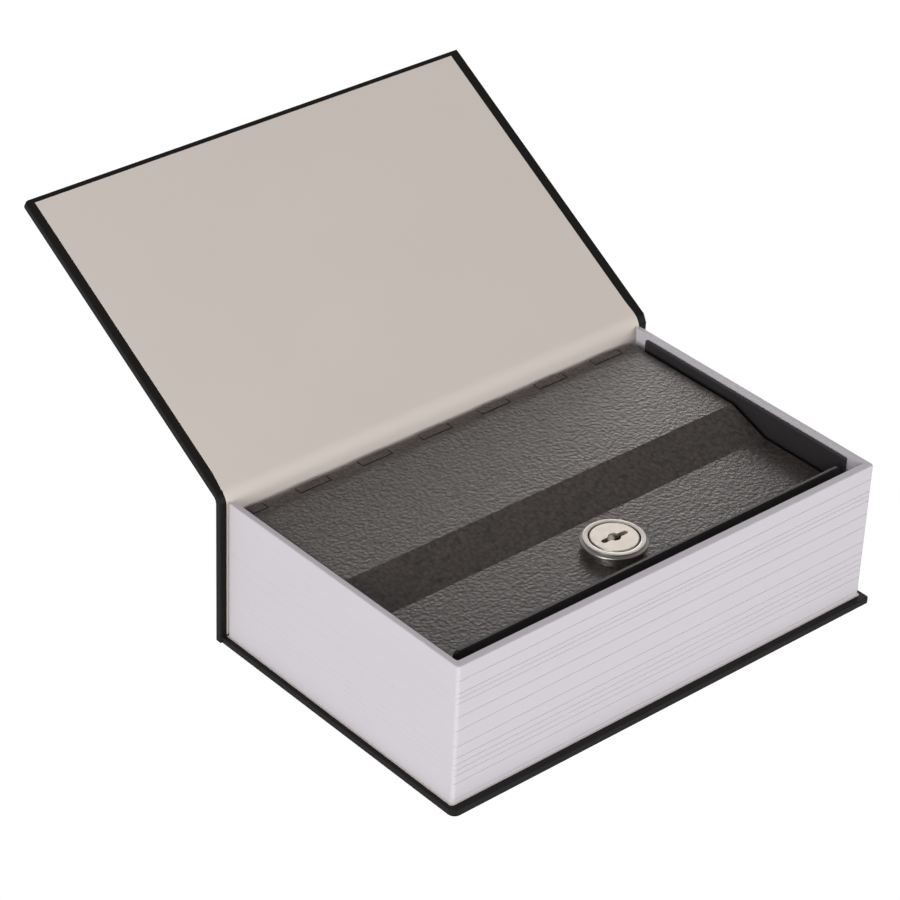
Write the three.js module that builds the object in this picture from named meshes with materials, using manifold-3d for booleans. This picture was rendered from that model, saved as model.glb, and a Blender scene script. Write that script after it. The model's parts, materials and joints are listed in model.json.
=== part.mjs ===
// A book safe: a dummy book whose page block holds a steel box with a stepped, locked lid.
// Millimetres. The origin is the middle of the page block's footprint, on the surface under the book.
// +X runs along the book's height, +Y points to the spine and +Z points up.
// The upper cover stands open, and the lid of the steel box is closed and unlocked.

import * as THREE from 'three';
import { mergeVertices } from 'three/addons/utils/BufferGeometryUtils.js';
import Module from 'manifold-3d';

const wasm = await Module();
wasm.setup();

// Covers and spine
const wrapThickness = 0.4;
const boardThickness = 1;
const paperThickness = 0.4;
const seatGap = 0.3;
const spineTurnIn = 12;
const leastCornerRadius = 0.2;
const endOverhang = 1.9;
const foreOverhang = 2.9;
const lowerCornerRadius = 2.5;
const lowerTurnIn = { end: 1.1, fore: 2.3, rear: 2.7 };
const upperEndReach = 1.25;
const upperEndShift = 0.65;
const upperForeReach = 1.7;
const upperCornerRadius = 1.2;
const upperTurnIn = { end: 3.2, fore: 1.5, rear: 3 };
const spineGap = 1.25;

// Bend between the spine and the upper cover
const coverOpenAngle = 149.32;
const closedGap = 0.3;
const coverHingeRise = 1.28;
const jointClothThickness = 0.4;
const jointClothGap = 0.5;
const linerThickness = 0.3;
const linerEndReach = 0.15;

// Page block
const pageLength = 174;
const pageDepth = 107;
const pageHeight = 50.25;
const endWall = 2;
const foreWall = 2.8;
const trayFloor = 2;
const ridgePitch = 2.8;
const ridgeDepth = 0.35;
const grooveHalfHeight = 0.5;
const pageCornerRadius = 1.2;
const rimChamfer = 0.4;

// Steel box
const sheetThickness = 1;
const boxEndGap = 0.6;
const boxForeGap = 5.7;
const boxRearGap = 0.5;
const sideWallDrop = 1.45;
const sideWallRearSetback = 5.5;
const frontPlateDrop = 2.3;
const frontPlateInset = 3.6;
const frontPlateShoulder = 6.5;
const frontPlateRadius = 2;

// Lid of the steel box
const lidDrop = 3.85;
const lidSideGap = 1.4;
const lidFrontGap = 0.5;
const lidFrontPlateau = 32.3;
const lidRampDepth = 15.4;
const lidStepHeight = 5.4;
const lidFlange = 5;

// Lid hinge
const pinRadius = 1.1;
const pinBoreGap = 0.1;
const knuckleWall = 0.8;
const knuckleGap = 0.4;
const slotWidth = 12.5;
const slotPitch = 25;
const slotShift = -6.3;

// Lock
const lockSetback = 16.8;
const plugRadius = 5.4;
const fitGap = 0.3;
const barrelWall = 1.5;
const barrelTail = 1.1;
const neckLip = 0.8;
const neckHeight = 1.5;
const bezelSeat = 0.65;
const bezelWidth = 3;
const bezelHeight = 2.2;
const bezelStep = 0.7;
const plugHeadRise = 0.2;
const nutAcrossFlats = 21;
const nutHeight = 3;
const washerRadius = 11;
const washerThickness = 0.5;

// Key slot and wafers
const keySlotLength = 8.6;
const keySlotArm = 0.9;
const keySlotWaist = 2.2;
const keySlotTail = 1;
const waferCount = 4;
const waferThickness = 1;
const waferWidth = 4.6;
const waferPitch = 3;
const waferTopDepth = 2.4;
const waferTravel = 0.8;
const waferWindowLength = 6;
const waferWindowWidth = 2;
const waferTabLength = 0.8;
const springCoilRadius = 0.42;
const springWireRadius = 0.12;
const springTurns = 4;
const springLength = 3.2;

// Cam
const camBite = 1.5;
const camTail = 5;
const camWidth = 10;
const camThickness = 1.5;
const camSquare = 5;
const camSlotSideGap = 1;
const camSlotRise = 1.45;
const camWasherRadius = 5;
const camWasherThickness = 0.6;
const camScrewHeadRadius = 3.4;
const camScrewHeadHeight = 1.6;
const camScrewRadius = 1.2;
const camScrewTipWall = 0.9;
const camScrewSlotWidth = 0.8;
const camScrewSlotDepth = 0.7;

// Rivets that hold the steel box in the page block
const rivetRadius = 1.7;
const rivetHeadRadius = 3.2;
const rivetHeadHeight = 1;
const rivetTailHeight = 0.8;
const rivetEndInset = 24;
const rivetSideInset = 18;

const roundSides = 32;
const slimSides = 16;
const cutMargin = 1;

// Places that follow from the sizes above
const panelThickness = wrapThickness + seatGap + boardThickness + seatGap + paperThickness;
const coverLength = pageLength + 2 * endOverhang;
const pageTop = panelThickness + pageHeight;
const foreEdge = -pageDepth / 2 - foreOverhang;
const spineInner = pageDepth / 2 + spineGap;
const spineOuter = spineInner + panelThickness;
const upperHalf = coverLength / 2 + upperEndReach;
const spineHead = upperEndShift - upperHalf;
const spineTail = upperEndShift + upperHalf;

const coverHingeY = spineOuter;
const coverHingeZ = pageTop + closedGap + coverHingeRise;
const upperCoverDepth = coverHingeY - foreEdge + upperForeReach;
const coverSweep = Math.max(coverHingeRise, panelThickness - coverHingeRise);
const jointClothTop = coverHingeZ - coverSweep - jointClothGap;
const spineTop = jointClothTop - jointClothThickness;

const boxFloor = panelThickness + trayFloor;
const boxHalf = pageLength / 2 - endWall - boxEndGap;
const boxFront = -pageDepth / 2 + foreWall + boxForeGap;
const boxRear = pageDepth / 2 - boxRearGap;
const cavityHalf = boxHalf - sheetThickness;
const cavityFront = boxFront + sheetThickness;
const cavityFloor = boxFloor + sheetThickness;
const sideWallTop = pageTop - sideWallDrop;
const frontPlateTop = pageTop - frontPlateDrop;

const lidTop = pageTop - lidDrop;
const lidLow = lidTop - lidStepHeight;
const lidHalf = cavityHalf - lidSideGap;
const lidFront = cavityFront + lidFrontGap;
const rampFront = lidFront + lidFrontPlateau;
const rampRear = rampFront + lidRampDepth;
const knuckleRadius = pinRadius + pinBoreGap + knuckleWall;
const pinY = boxRear - knuckleRadius;
const pinZ = lidTop - knuckleRadius;
const rearWallTop = pinZ - knuckleRadius - knuckleGap;
const slotCount = Math.floor((2 * lidHalf) / slotPitch) + 1;

const lockY = lidFront + lockSetback;
const waferGrooveRadius = plugRadius + waferTravel + fitGap;
const barrelRadius = waferGrooveRadius + barrelWall;
const barrelBottom = -waferTopDepth - waferCount * waferPitch - barrelTail;
const neckRadius = barrelRadius + neckLip;
const bezelBore = neckRadius - bezelSeat;
const bezelRadius = bezelBore + bezelWidth;
const bezelTop = neckHeight + bezelHeight;
const plugTop = bezelTop + plugHeadRise;
const plugBottom = barrelBottom - fitGap;
const keySlotFloor = waferHeight(waferCount - 1) - waferThickness / 2 - keySlotTail;
const camBottom = plugBottom - camThickness;
const camScrewTip = keySlotFloor - camScrewTipWall;
const camReach = lockY - boxFront + camBite;
const camEntry = Math.sqrt(camReach ** 2 - (lockY - cavityFront) ** 2);
const springOuterRadius = springCoilRadius + springWireRadius;
const springY = waferWidth / 2 + fitGap + springOuterRadius;
const tabSpringFace = -springLength / 2 - fitGap;

// Solids

/** Makes a closed manifold from a three.js geometry. */
function solid(geometry) {
  const bare = geometry.clone();
  bare.deleteAttribute('normal');
  bare.deleteAttribute('uv');
  const merged = mergeVertices(bare, 1e-5);
  return new wasm.Manifold(new wasm.Mesh({
    numProp: 3,
    vertProperties: new Float32Array(merged.attributes.position.array),
    triVerts: new Uint32Array(merged.index.array),
  }));
}

/** Joins several manifolds. */
function join(...parts) {
  return parts.reduce((whole, part) => whole.add(part));
}

/** Cuts the given manifolds out of a body. */
function cut(body, ...tools) {
  return tools.reduce((rest, tool) => rest.subtract(tool), body);
}

/** A block between two corners. */
function block([x0, y0, z0], [x1, y1, z1]) {
  const box = new THREE.BoxGeometry(x1 - x0, y1 - y0, z1 - z0);
  return solid(box.translate((x0 + x1) / 2, (y0 + y1) / 2, (z0 + z1) / 2));
}

/** A round bar along Z, between two heights. */
function barZ(radius, z0, z1, sides = roundSides) {
  const bar = new THREE.CylinderGeometry(radius, radius, z1 - z0, sides);
  return solid(bar.rotateX(Math.PI / 2).translate(0, 0, (z0 + z1) / 2));
}

/** A round bar along X, at a given y and z. */
function barX(radius, x0, x1, y, z) {
  const bar = new THREE.CylinderGeometry(radius, radius, x1 - x0, slimSides);
  return solid(bar.rotateZ(Math.PI / 2).translate((x0 + x1) / 2, y, z));
}

/** A flat ring about Z, between two heights. */
function ring(outer, inner, z0, z1) {
  return cut(barZ(outer, z0, z1), barZ(inner, z0 - cutMargin, z1 + cutMargin));
}

/** An outline in X and Y, pushed up from z0 to z1. */
function plate(shape, z0, z1) {
  const options = { depth: z1 - z0, bevelEnabled: false, curveSegments: 6 };
  return solid(new THREE.ExtrudeGeometry(shape, options).translate(0, 0, z0));
}

/** An outline in Y and Z, pushed along X from -half to +half. */
function profileX(points, half) {
  const shape = new THREE.Shape(points.map(([y, z]) => new THREE.Vector2(y, z)));
  const options = { depth: 2 * half, bevelEnabled: false };
  const bar = new THREE.ExtrudeGeometry(shape, options).translate(0, 0, -half);
  const turn = new THREE.Matrix4().makeBasis(
    new THREE.Vector3(0, 1, 0),
    new THREE.Vector3(0, 0, 1),
    new THREE.Vector3(1, 0, 0),
  );
  return solid(bar.applyMatrix4(turn));
}

/** A rectangle from y0 to y1 whose two corners at y0 are rounded. */
function foreRounded(half, y0, y1, radius) {
  const shape = new THREE.Shape();
  shape.moveTo(half, y1);
  shape.lineTo(-half, y1);
  shape.lineTo(-half, y0 + radius);
  shape.absarc(-half + radius, y0 + radius, radius, Math.PI, 1.5 * Math.PI, false);
  shape.lineTo(half - radius, y0);
  shape.absarc(half - radius, y0 + radius, radius, -0.5 * Math.PI, 0, false);
  shape.closePath();
  return shape;
}

/** Turns a manifold into an indexed geometry. */
function toGeometry(manifold) {
  const mesh = manifold.getMesh();
  const geometry = new THREE.BufferGeometry();
  geometry.setAttribute('position', new THREE.BufferAttribute(mesh.vertProperties, 3));
  geometry.setIndex(new THREE.BufferAttribute(mesh.triVerts, 1));
  geometry.computeVertexNormals();
  return geometry;
}

/** Adds a named piece to a group. */
function addPiece(group, name, body, material) {
  const geometry = body.isBufferGeometry ? body : toGeometry(body);
  const mesh = new THREE.Mesh(geometry, material);
  mesh.name = name;
  group.add(mesh);
  return mesh;
}

// Finishes
const finish = (color, roughness, metalness) =>
  new THREE.MeshStandardMaterial({ color, roughness, metalness });
const blackCloth = finish(0x1d1b1a, 0.6, 0);
const greyBoard = finish(0x8c8478, 0.9, 0);
const palePaper = finish(0xc3bbb5, 0.8, 0);
const whitePlastic = finish(0xd2cdd5, 0.55, 0);
const hammeredPaint = finish(0x615d59, 0.45, 0.2);
const boxPaint = finish(0x2a2827, 0.5, 0.2);
const chrome = finish(0xd8d4cc, 0.2, 1);
const satinNickel = finish(0xdad6cc, 0.4, 1);
const brass = finish(0xb89a5a, 0.35, 1);
const zincSteel = finish(0xa8a8a6, 0.4, 1);

const book = new THREE.Group();

// Cover panels

/** Wrap, board and paper of one panel, from y0 to y1, with the paper side up at the panel's thickness. */
function coverPanel(half, y0, y1, cornerRadius, turnIn) {
  const outline = (end, fore = end, rear = end) =>
    foreRounded(half - end, y0 + fore, y1 - rear, Math.max(cornerRadius - end, leastCornerRadius));
  const boardInset = wrapThickness + seatGap;
  const hollow = plate(outline(wrapThickness), wrapThickness, panelThickness - wrapThickness);
  const opening = outline(turnIn.end, turnIn.fore, turnIn.rear);
  const sheet = outline(turnIn.end + seatGap, turnIn.fore + seatGap, turnIn.rear + seatGap);
  const windowCut = plate(opening, panelThickness - 2 * wrapThickness, panelThickness + cutMargin);
  return {
    wrap: cut(plate(outline(0), 0, panelThickness), hollow, windowCut),
    board: plate(outline(boardInset), boardInset, boardInset + boardThickness),
    paper: plate(sheet, panelThickness - paperThickness, panelThickness),
  };
}

/** The fixed part of the case: lower cover and spine in one black wrap, with their boards and paper. */
function buildCase() {
  const half = coverLength / 2;
  const lower = coverPanel(half, foreEdge, spineOuter, lowerCornerRadius, lowerTurnIn);
  const boardFront = spineInner + wrapThickness + seatGap;
  const spineRoot = panelThickness - wrapThickness / 2;
  const spineBlock = join(
    block([spineHead, spineInner, spineRoot], [spineTail, spineOuter, spineTop]),
    block([spineHead, spineInner, 0], [-half + wrapThickness, spineOuter, panelThickness]),
    block([half - wrapThickness, spineInner, 0], [spineTail, spineOuter, panelThickness]),
  );
  const boardHollow = block(
    [spineHead + wrapThickness, spineInner + wrapThickness, panelThickness + wrapThickness],
    [spineTail - wrapThickness, spineOuter - wrapThickness, spineTop - wrapThickness],
  );
  const spineWindow = block(
    [spineHead + spineTurnIn, spineInner - cutMargin, panelThickness + spineTurnIn],
    [spineTail - spineTurnIn, spineInner + 2 * wrapThickness, spineTop - spineTurnIn],
  );
  const inset = wrapThickness + seatGap;
  const spineBoard = block(
    [spineHead + inset, boardFront, panelThickness + inset],
    [spineTail - inset, boardFront + boardThickness, spineTop - inset],
  );
  addPiece(book, 'case_wrap', join(lower.wrap, cut(spineBlock, boardHollow, spineWindow)), blackCloth);
  addPiece(book, 'back_board', lower.board, greyBoard);
  addPiece(book, 'back_pastedown', lower.paper, palePaper);
  addPiece(book, 'spine_board', spineBoard, greyBoard);
}

/** The black strip on the spine's top edge where the upper cover bends. */
function buildJointCloth() {
  const strip = block([spineHead, spineInner, spineTop], [spineTail, spineOuter, jointClothTop]);
  addPiece(book, 'joint_cloth', strip, blackCloth);
}

/** The paper that hangs from the upper cover into the gap between page block and spine. */
function buildLiner() {
  const half = pageLength / 2 + linerEndReach;
  const rear = spineInner - seatGap;
  addPiece(
    book,
    'spine_liner',
    block([-half, rear - linerThickness, panelThickness], [half, rear, spineTop]),
    palePaper,
  );
}

/** The upper cover, drawn closed about its bend line and then swung open. */
function buildUpperCover() {
  const cover = new THREE.Group();
  cover.position.set(upperEndShift, coverHingeY, coverHingeZ);
  cover.rotation.x = -THREE.MathUtils.degToRad(coverOpenAngle);
  const panel = coverPanel(upperHalf, -upperCoverDepth, 0, upperCornerRadius, upperTurnIn);
  const upsideDown = new THREE.Group();
  upsideDown.position.z = panelThickness - coverHingeRise;
  upsideDown.rotation.y = Math.PI;
  addPiece(upsideDown, 'front_cover_wrap', panel.wrap, blackCloth);
  addPiece(upsideDown, 'front_board', panel.board, greyBoard);
  addPiece(upsideDown, 'front_endpaper', panel.paper, palePaper);
  cover.add(upsideDown);
  book.add(cover);
}

// Page block

/** One level of the ridged block's outline, drawn in by inset on head, tail and fore-edge. */
function pageLevel(inset) {
  const half = pageLength / 2 - inset;
  const front = -pageDepth / 2 + inset;
  const points = foreRounded(half, front, pageDepth / 2, pageCornerRadius).getPoints(2);
  return points.slice(0, points[0].equals(points.at(-1)) ? -1 : undefined);
}

/** A closed shell through outlines at rising heights. */
function stack(levels) {
  const outlines = levels.map(({ z, inset }) => pageLevel(inset).map((p) => [p.x, p.y, z]));
  const count = outlines[0].length;
  const triangles = [];
  for (let level = 0; level + 1 < outlines.length; level += 1) {
    for (let i = 0; i < count; i += 1) {
      const next = (i + 1) % count;
      const low = level * count;
      const high = low + count;
      triangles.push(low + i, low + next, high + next, low + i, high + next, high + i);
    }
  }
  const lid = (outlines.length - 1) * count;
  const caps = THREE.ShapeUtils.triangulateShape(pageLevel(0), []);
  for (const [a, b, c] of caps) {
    triangles.push(a, c, b, lid + a, lid + b, lid + c);
  }
  const geometry = new THREE.BufferGeometry();
  geometry.setAttribute('position', new THREE.Float32BufferAttribute(outlines.flat(2), 3));
  geometry.setIndex(triangles);
  return solid(geometry);
}

/** The white tray whose ridged sides stand for the edges of the pages. */
function buildPageBlock() {
  const levels = [{ z: panelThickness, inset: 0 }];
  const grooveCount = Math.floor((pageHeight - rimChamfer) / ridgePitch) - 1;
  for (let i = 1; i <= grooveCount; i += 1) {
    const z = panelThickness + i * ridgePitch;
    levels.push({ z: z - grooveHalfHeight, inset: 0 });
    levels.push({ z, inset: ridgeDepth });
    levels.push({ z: z + grooveHalfHeight, inset: 0 });
  }
  levels.push({ z: pageTop - rimChamfer, inset: 0 }, { z: pageTop, inset: rimChamfer });
  const half = pageLength / 2 - endWall;
  const hollow = block(
    [-half, -pageDepth / 2 + foreWall, boxFloor],
    [half, pageDepth / 2 + cutMargin, pageTop + cutMargin],
  );
  const rivetHoles = rivetPlaces().map(([x, y]) => join(
    barZ(rivetRadius + fitGap, panelThickness - cutMargin, boxFloor + cutMargin, slimSides),
    barZ(rivetHeadRadius + fitGap, panelThickness - cutMargin, panelThickness + rivetTailHeight, slimSides),
  ).translate([x, y, 0]));
  addPiece(book, 'page_block', cut(stack(levels), hollow, ...rivetHoles), whitePlastic);
}

// Steel box

/** Places of the rivets in the box floor. */
function rivetPlaces() {
  const x = boxHalf - rivetEndInset;
  const front = boxFront + rivetSideInset;
  const rear = boxRear - rivetSideInset;
  return [[-x, front], [x, front], [-x, rear], [x, rear]];
}

/** The stretches along X in which the box, not the lid, has its knuckles. */
function boxKnuckleSpans() {
  const spans = [];
  const first = -Math.floor(slotCount / 2);
  for (let i = 0; i < slotCount; i += 1) {
    const middle = slotShift + (first + i) * slotPitch;
    const low = Math.max(middle - slotWidth / 2, -lidHalf);
    const high = Math.min(middle + slotWidth / 2, lidHalf);
    if (high - low > 4 * knuckleGap) {
      spans.push([low, high]);
    }
  }
  return spans;
}

/** The front plate, full width below its shoulders and with rounded upper corners. */
function frontPlate() {
  const wide = boxHalf;
  const narrow = boxHalf - frontPlateInset;
  const shoulder = frontPlateTop - frontPlateShoulder;
  const arcX = narrow - frontPlateRadius;
  const arcZ = frontPlateTop - frontPlateRadius;
  const shape = new THREE.Shape();
  shape.moveTo(-wide, boxFloor);
  shape.lineTo(wide, boxFloor);
  shape.lineTo(wide, shoulder);
  shape.lineTo(narrow, shoulder);
  shape.lineTo(narrow, arcZ);
  shape.absarc(arcX, arcZ, frontPlateRadius, 0, Math.PI / 2);
  shape.lineTo(-arcX, frontPlateTop);
  shape.absarc(-arcX, arcZ, frontPlateRadius, Math.PI / 2, Math.PI);
  shape.lineTo(-narrow, shoulder);
  shape.lineTo(-wide, shoulder);
  shape.closePath();
  const options = { depth: sheetThickness, bevelEnabled: false, curveSegments: 6 };
  const upright = new THREE.ExtrudeGeometry(shape, options).rotateX(Math.PI / 2);
  return solid(upright.translate(0, cavityFront, 0));
}

/** The box: floor, side walls, front plate, rear wall and its knuckles. */
function buildBoxBody() {
  const rearInner = boxRear - sheetThickness;
  const shell = cut(
    block([-boxHalf, cavityFront, boxFloor], [boxHalf, boxRear, sideWallTop]),
    block([-cavityHalf, cavityFront - cutMargin, cavityFloor], [cavityHalf, rearInner, pageTop]),
    block([-pageLength, boxRear - sideWallRearSetback, rearWallTop], [pageLength, spineOuter, pageTop]),
  );
  const camLow = lidLow + camBottom;
  const camSlot = block(
    [-camWidth / 2 - camSlotSideGap, boxFront - cutMargin, camLow - camSlotRise],
    [camEntry + camSlotSideGap, cavityFront + cutMargin, camLow + camThickness + camSlotRise],
  );
  const bore = barX(pinRadius + pinBoreGap, -pageLength, pageLength, pinY, pinZ);
  const knuckles = boxKnuckleSpans().map(([low, high]) => {
    const x0 = low === -lidHalf ? low : low + knuckleGap;
    const x1 = high === lidHalf ? high : high - knuckleGap;
    const strap = block([x0, rearInner, cavityFloor], [x1, boxRear, pinZ]);
    return cut(join(barX(knuckleRadius, x0, x1, pinY, pinZ), strap), bore);
  });
  const hole = barZ(rivetRadius + fitGap, boxFloor - cutMargin, cavityFloor + cutMargin, slimSides);
  const rivetHoles = rivetPlaces().map(([x, y]) => hole.translate([x, y, 0]));
  const body = cut(join(shell, frontPlate(), ...knuckles), camSlot, ...rivetHoles);
  addPiece(book, 'box_body', body, boxPaint);
}

/** The pin through the knuckles. */
function buildHingePin() {
  addPiece(book, 'hinge_pin', barX(pinRadius, -lidHalf, lidHalf, pinY, pinZ), zincSteel);
}

/** The rivets, each with a head in the box and a tail under the tray's floor. */
function buildRivets() {
  const tailTop = panelThickness + rivetTailHeight - fitGap;
  rivetPlaces().forEach(([x, y], i) => {
    const rivet = join(
      barZ(rivetRadius, panelThickness, cavityFloor, slimSides),
      barZ(rivetHeadRadius, cavityFloor, cavityFloor + rivetHeadHeight, slimSides),
      barZ(rivetHeadRadius, panelThickness, tailTop, slimSides),
    );
    addPiece(book, `box_rivet_${i + 1}`, rivet, zincSteel).position.set(x, y, 0);
  });
}

// Lid

/** The lid's upper line in Y and Z from the hinge to the front edge, lowered by drop. */
function lidLine(drop, rear, front) {
  return [
    [rear, lidTop - drop],
    [rampRear, lidTop - drop],
    [rampFront, lidLow - drop],
    [front, lidLow - drop],
  ];
}

/** The stepped lid with its side and front flanges and its knuckles. */
function buildLid(group) {
  const flangeRear = pinY - knuckleRadius - knuckleGap;
  const underside = lidLine(sheetThickness, pinY, lidFront).reverse();
  const skin = profileX([...lidLine(0, pinY, lidFront), ...underside], lidHalf);
  const rim = profileX(
    [...lidLine(0, flangeRear, lidFront), ...lidLine(lidFlange, flangeRear, lidFront).reverse()],
    lidHalf,
  );
  const inside = profileX(
    [
      ...lidLine(0, pinY + cutMargin, lidFront + sheetThickness),
      ...lidLine(lidFlange + cutMargin, pinY + cutMargin, lidFront + sheetThickness).reverse(),
    ],
    lidHalf - sheetThickness,
  );
  const slots = boxKnuckleSpans().map(([low, high]) => block(
    [low === -lidHalf ? low - cutMargin : low, flangeRear, pinZ - 2 * knuckleRadius],
    [high === lidHalf ? high + cutMargin : high, boxRear + cutMargin, lidTop + cutMargin],
  ));
  const body = cut(
    join(skin, cut(rim, inside), barX(knuckleRadius, -lidHalf, lidHalf, pinY, pinZ)),
    barX(pinRadius + pinBoreGap, -pageLength, pageLength, pinY, pinZ),
    ...slots,
    barZ(barrelRadius + fitGap, lidLow - 2 * lidFlange, lidTop).translate([0, lockY, 0]),
  );
  addPiece(group, 'box_lid', body.translate([0, -pinY, -pinZ]), hammeredPaint);
}

// Lock, drawn about its own axis with z = 0 on the lid's front plateau

/** The threaded barrel that passes through the lid, with grooves for the wafers. */
function buildLockHousing(group) {
  const grooveHalf = waferWidth / 2 + fitGap;
  const grooveTop = -waferTopDepth + waferThickness;
  const grooveBottom = grooveTop - waferCount * waferPitch;
  const body = cut(
    join(barZ(barrelRadius, barrelBottom, neckHeight), barZ(neckRadius, 0, neckHeight)),
    barZ(plugRadius + fitGap, barrelBottom - cutMargin, neckHeight + cutMargin),
    block([-waferGrooveRadius, -grooveHalf, grooveBottom], [0, grooveHalf, grooveTop]),
    block([-grooveHalf, 0, grooveBottom], [grooveHalf, waferGrooveRadius, grooveTop]),
  );
  addPiece(group, 'lock_housing', body, chrome);
}

/** The stepped chrome ring round the lock's face. */
function buildLockBezel(group) {
  const points = [
    [bezelBore, neckHeight],
    [bezelRadius - bezelStep, neckHeight],
    [bezelRadius, neckHeight + bezelStep],
    [bezelRadius, bezelTop - bezelStep],
    [bezelRadius - bezelStep, bezelTop],
    [bezelBore, bezelTop],
    [bezelBore, neckHeight],
  ].map(([r, z]) => new THREE.Vector2(r, z));
  const turned = new THREE.LatheGeometry(points, roundSides).rotateX(Math.PI / 2);
  addPiece(group, 'lock_bezel', turned, chrome);
}

/** The hexagonal nut and the flat washer that clamp the housing to the lid from below. */
function buildLockNut(group) {
  const underside = -sheetThickness;
  const washerBottom = underside - washerThickness;
  const nutBottom = washerBottom - nutHeight;
  const hexRadius = nutAcrossFlats / 2 / Math.cos(Math.PI / 6);
  const hole = barZ(barrelRadius + fitGap, nutBottom - cutMargin, underside);
  const nut = cut(barZ(hexRadius, nutBottom, washerBottom, 6), hole);
  const washer = ring(washerRadius, barrelRadius + fitGap, washerBottom, underside);
  addPiece(group, 'lock_washer', washer, zincSteel);
  addPiece(group, 'lock_nut', nut, zincSteel);
}

/** Height of the middle of a wafer, counted from the top. */
function waferHeight(index) {
  return -waferTopDepth - index * waferPitch;
}

/** The turning plug with its face, key slot, wafer slots and square end. */
function buildLockPlug(group) {
  const slotHalf = waferWidth / 2 + fitGap;
  const headBottom = neckHeight + fitGap;
  const arm = keySlotLength / 2;
  const above = plugTop + cutMargin;
  const keySlot = join(
    block([-arm, -keySlotArm, keySlotFloor], [0, 0, above]),
    block([0, 0, keySlotFloor], [arm, keySlotArm, above]),
    block([-arm / 2, -keySlotWaist / 2, keySlotFloor], [arm / 2, keySlotWaist / 2, above]),
  );
  const pockets = Array.from({ length: waferCount }, (_, i) => {
    const low = waferHeight(i) - waferThickness / 2 - fitGap;
    const high = waferHeight(i) + waferThickness / 2 + fitGap;
    const tabEnd = tabSpringFace - waferTabLength - waferTravel - fitGap;
    return join(
      block([-plugRadius - cutMargin, -slotHalf, low], [plugRadius + cutMargin, slotHalf, high]),
      block([tabEnd, 0, low], [springLength / 2 + fitGap, springY + springOuterRadius + fitGap, high]),
    );
  });
  const square = camSquare / 2;
  const squareEnd = camBottom + fitGap / 3;
  const body = cut(
    join(
      barZ(plugRadius, plugBottom, plugTop),
      barZ(bezelBore - fitGap, headBottom, plugTop),
      block([-square, -square, squareEnd], [square, square, plugBottom]),
    ),
    keySlot,
    ...pockets,
    barZ(camScrewRadius + fitGap, camBottom - cutMargin, camScrewTip + fitGap),
  );
  addPiece(group, 'lock_plug', body, satinNickel);
}

/** A fine coil spring along X, centred on the origin. */
function springGeometry() {
  const run = springLength - 2 * springWireRadius;
  class Coil extends THREE.Curve {
    getPoint(t, target = new THREE.Vector3()) {
      const angle = 2 * Math.PI * springTurns * t;
      const x = (t - 0.5) * run;
      return target.set(x, springCoilRadius * Math.cos(angle), springCoilRadius * Math.sin(angle));
    }
  }
  const section = new THREE.Shape();
  const corners = 5;
  for (let i = 0; i < corners; i += 1) {
    const angle = (2 * Math.PI * i) / corners;
    const x = springWireRadius * Math.cos(angle);
    const y = springWireRadius * Math.sin(angle);
    if (i === 0) {
      section.moveTo(x, y);
    } else {
      section.lineTo(x, y);
    }
  }
  section.closePath();
  const options = { steps: 8 * springTurns, bevelEnabled: false, extrudePath: new Coil() };
  return new THREE.ExtrudeGeometry(section, options);
}

/** The wafers, each on its own, and their springs, which stay in the plug. */
function buildWafers(group) {
  const round = barZ(plugRadius - fitGap / 2, -waferThickness / 2, waferThickness / 2);
  const bar = block(
    [-plugRadius, -waferWidth / 2, -waferThickness / 2],
    [plugRadius, waferWidth / 2, waferThickness / 2],
  );
  const tab = block(
    [tabSpringFace - waferTabLength, 0, -waferThickness / 2],
    [tabSpringFace, springY + springCoilRadius, waferThickness / 2],
  );
  const windowCut = block(
    [-waferWindowLength / 2, -waferWindowWidth / 2, -waferThickness],
    [waferWindowLength / 2, waferWindowWidth / 2, waferThickness],
  );
  const wafer = cut(join(bar.intersect(round), tab), windowCut);
  for (let i = 0; i < waferCount; i += 1) {
    addPiece(group, `wafer_${i + 1}`, wafer, brass).position.z = waferHeight(i);
    const spring = addPiece(group, `wafer_spring_${i + 1}`, springGeometry(), zincSteel);
    spring.position.set(0, springY, waferHeight(i));
  }
}

/** The cam on the plug's square end, with the washer and screw that hold it. */
function buildCam(group) {
  const half = camWidth / 2;
  const outline = new THREE.Shape();
  outline.moveTo(-camTail, -half);
  outline.lineTo(camReach - half, -half);
  outline.absarc(camReach - half, 0, half, -Math.PI / 2, Math.PI / 2, false);
  outline.lineTo(-camTail, half);
  outline.closePath();
  const hole = camSquare / 2 + fitGap;
  const cam = cut(
    plate(outline, camBottom, plugBottom),
    block([-hole, -hole, camBottom - cutMargin], [hole, hole, plugBottom + cutMargin]),
  );
  const washerBottom = camBottom - camWasherThickness;
  const headBottom = washerBottom - camScrewHeadHeight;
  const screw = cut(
    join(
      barZ(camScrewRadius, washerBottom, camScrewTip),
      barZ(camScrewHeadRadius, headBottom, washerBottom),
    ),
    block(
      [-camScrewHeadRadius - cutMargin, -camScrewSlotWidth / 2, headBottom - cutMargin],
      [camScrewHeadRadius + cutMargin, camScrewSlotWidth / 2, headBottom + camScrewSlotDepth],
    ),
  );
  addPiece(group, 'lock_cam', cam, zincSteel);
  const washer = ring(camWasherRadius, camScrewRadius + fitGap, washerBottom, camBottom);
  addPiece(group, 'cam_washer', washer, zincSteel);
  addPiece(group, 'cam_screw', screw, zincSteel);
}

/** The whole lid with its lock, about the hinge pin. */
function buildLidAssembly() {
  const lid = new THREE.Group();
  lid.position.set(0, pinY, pinZ);
  buildLid(lid);
  const lock = new THREE.Group();
  lock.position.set(0, lockY - pinY, lidLow - pinZ);
  buildLockHousing(lock);
  buildLockBezel(lock);
  buildLockNut(lock);
  buildLockPlug(lock);
  buildWafers(lock);
  buildCam(lock);
  lid.add(lock);
  book.add(lid);
}

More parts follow.
